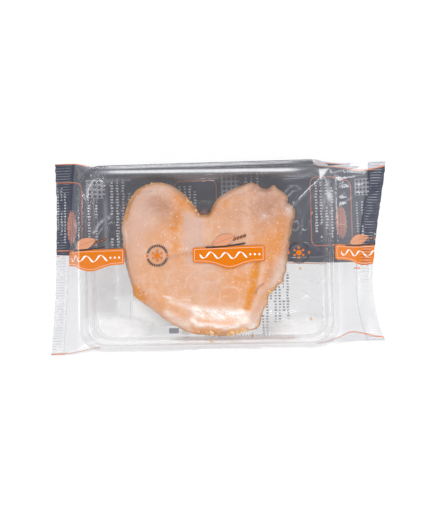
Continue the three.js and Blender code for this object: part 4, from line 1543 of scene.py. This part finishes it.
class PALMIER_OT_palmier(Operator):
    """Builds the baked palmier and its glaze"""

    bl_idname = "palmier.palmier"
    bl_label = "Palmier"

    def execute(self, context):
        height = context.scene.palmier_sizes.rim_height / MM
        colours = context.scene.palmier_colours
        finish_piece(shell("pastry", *pastry_shape(height)), [pastry_finish(colours)])
        finish_piece(shell("glaze", *glaze_shape(height)), [glaze_finish(colours)])
        return {"FINISHED"}


class PALMIER_OT_flakes(Operator):
    """Scatters the loose flakes and crumbs"""

    bl_idname = "palmier.flakes"
    bl_label = "Flakes"

    def execute(self, context):
        chance = np.random.default_rng(7)
        centres, sizes = flake_places(chance, context.scene.palmier_sizes.rim_height / MM)
        flakes = flake_shapes(chance, centres, sizes, 0.25, 5)
        sizes = chance.uniform(CRUMB_LEAST, CRUMB_MOST, (len(CRUMBS), 3))
        crumbs = flake_shapes(chance, np.array(CRUMBS), sizes, 0.3, 9)
        finish = flake_finish()
        for name, (points, faces) in (("flakes", flakes), ("crumbs", crumbs)):
            finish_piece(new_object(name, points, faces.tolist()), [finish])
        return {"FINISHED"}


class PALMIER_OT_film(Operator):
    """Wraps tray and palmier in the printed film, with its seals"""

    bl_idname = "palmier.film"
    bl_label = "Film"

    def execute(self, context):
        sizes, colours = context.scene.palmier_sizes, context.scene.palmier_film
        height = sizes.rim_height / MM
        loops, places, parts = sleeve_shape(sizes.rim_length / MM, sizes.rim_width / MM, height)
        top = (*MIDDLE, float(film_over_palmier(*MIDDLE, 0.0, height)))
        sleeve = shell("film_sleeve", loops, places, top, (0, 0, BASE_RISE), parts, SHARP_TURN)
        finish_piece(sleeve, [film_finish("film_front", colours, front=True),
                              film_finish("film_back", colours, back=True)])
        both = film_finish("film_seal", colours, front=True, back=True, crimped=True)
        lap = film_finish("film_lap", colours, back=True)
        pieces = [(f"seal_{side}", seal_shape(seal), both) for side, seal in SEALS.items()]
        for name, (loops, places), finish in (*pieces, ("lap_seal", lap_shape(), lap)):
            ends = loops[0].mean(0), loops[-1].mean(0)
            finish_piece(shell(name, loops, places, *ends), [finish])
        return {"FINISHED"}


class PALMIER_OT_stage(Operator):
    """Sets the floor, the soft lights and the camera"""

    bl_idname = "palmier.stage"
    bl_label = "Stage"

    def execute(self, context):
        scene, stage = context.scene, context.scene.palmier_stage
        corners = np.array([(-1, -1), (1, -1), (1, 1), (-1, 1)]) * FLOOR_HALF
        floor = new_object("floor", np.column_stack([corners, [FLOOR_LEVEL] * 4]), [(0, 1, 2, 3)])
        floor.data.materials.append(floor_finish(stage.floor, stage.glow))

        world = bpy.data.worlds.new("soft_sky")
        world.use_nodes = True
        sky = world.node_tree.nodes
        background = sky["Background"]
        background.inputs["Strength"].default_value = stage.sky
        place, split, ramp = (sky.new(f"ShaderNode{kind}") for kind in
                              ("TexCoord", "SeparateXYZ", "ValToRGB"))
        for element, (at, level) in zip(ramp.color_ramp.elements, SKY_STOPS):
            element.position, element.color = at, (level * 0.98, level * 0.99, level, 1)
        link = world.node_tree.links.new
        link(place.outputs["Generated"], split.inputs[0])
        link(split.outputs["Z"], ramp.inputs["Fac"])
        link(ramp.outputs["Color"], background.inputs["Color"])
        scene.world = world

        for name, place, width, height, share in LAMPS:
            data = bpy.data.lights.new(name, "AREA")
            data.shape = "RECTANGLE"
            data.size, data.size_y = width, height
            data.energy = stage.lamps * share
            lamp = bpy.data.objects.new(name, data)
            facing = Vector(place).to_track_quat("Z", "Y")
            lamp.matrix_world = Matrix.LocRotScale(Vector(place), facing, None)
            scene.collection.objects.link(lamp)

        data = bpy.data.cameras.new("camera")
        data.lens, data.sensor_width = LENS, SENSOR
        camera = bpy.data.objects.new("camera", data)
        camera.matrix_world = Matrix.LocRotScale(Vector(CAMERA_PLACE),
                                                 Euler(np.radians(CAMERA_TURN)), None)
        scene.collection.objects.link(camera)
        scene.camera = camera
        scene.view_settings.view_transform = "Standard"
        return {"FINISHED"}


class PALMIER_PT_panel(Panel):
    """Lists the pieces and what can be changed"""

    bl_label = "Wrapped palmier"
    bl_idname = "PALMIER_PT_panel"
    bl_space_type = "VIEW_3D"
    bl_region_type = "UI"
    bl_category = "Palmier"

    def draw(self, context):
        for operator in OPERATORS:
            self.layout.operator(operator.bl_idname)
        for key in GROUPS:
            group = getattr(context.scene, key)
            box = self.layout.box()
            for name in group.bl_rna.properties.keys():
                if name not in ("rna_type", "name"):
                    box.prop(group, name)


OPERATORS = (PALMIER_OT_tray, PALMIER_OT_palmier, PALMIER_OT_flakes, PALMIER_OT_film,
             PALMIER_OT_stage)
GROUPS = {"palmier_sizes": PackSizes, "palmier_film": FilmColours,
          "palmier_colours": PalmierColours, "palmier_stage": StageSettings}


def register():
    """Makes the classes known and hangs the settings on the scene."""
    for cls in (*GROUPS.values(), *OPERATORS, PALMIER_PT_panel):
        bpy.utils.register_class(cls)
    for key, group in GROUPS.items():
        setattr(bpy.types.Scene, key, PointerProperty(type=group))


def unregister():
    """Takes the settings and the classes away again."""
    for key in GROUPS:
        delattr(bpy.types.Scene, key)
    for cls in reversed((*GROUPS.values(), *OPERATORS, PALMIER_PT_panel)):
        bpy.utils.unregister_class(cls)


def main():
    """Builds every piece and the stage."""
    register()
    bpy.ops.palmier.tray()
    bpy.ops.palmier.palmier()
    bpy.ops.palmier.flakes()
    bpy.ops.palmier.film()
    bpy.ops.palmier.stage()


if __name__ == "__main__":
    main()
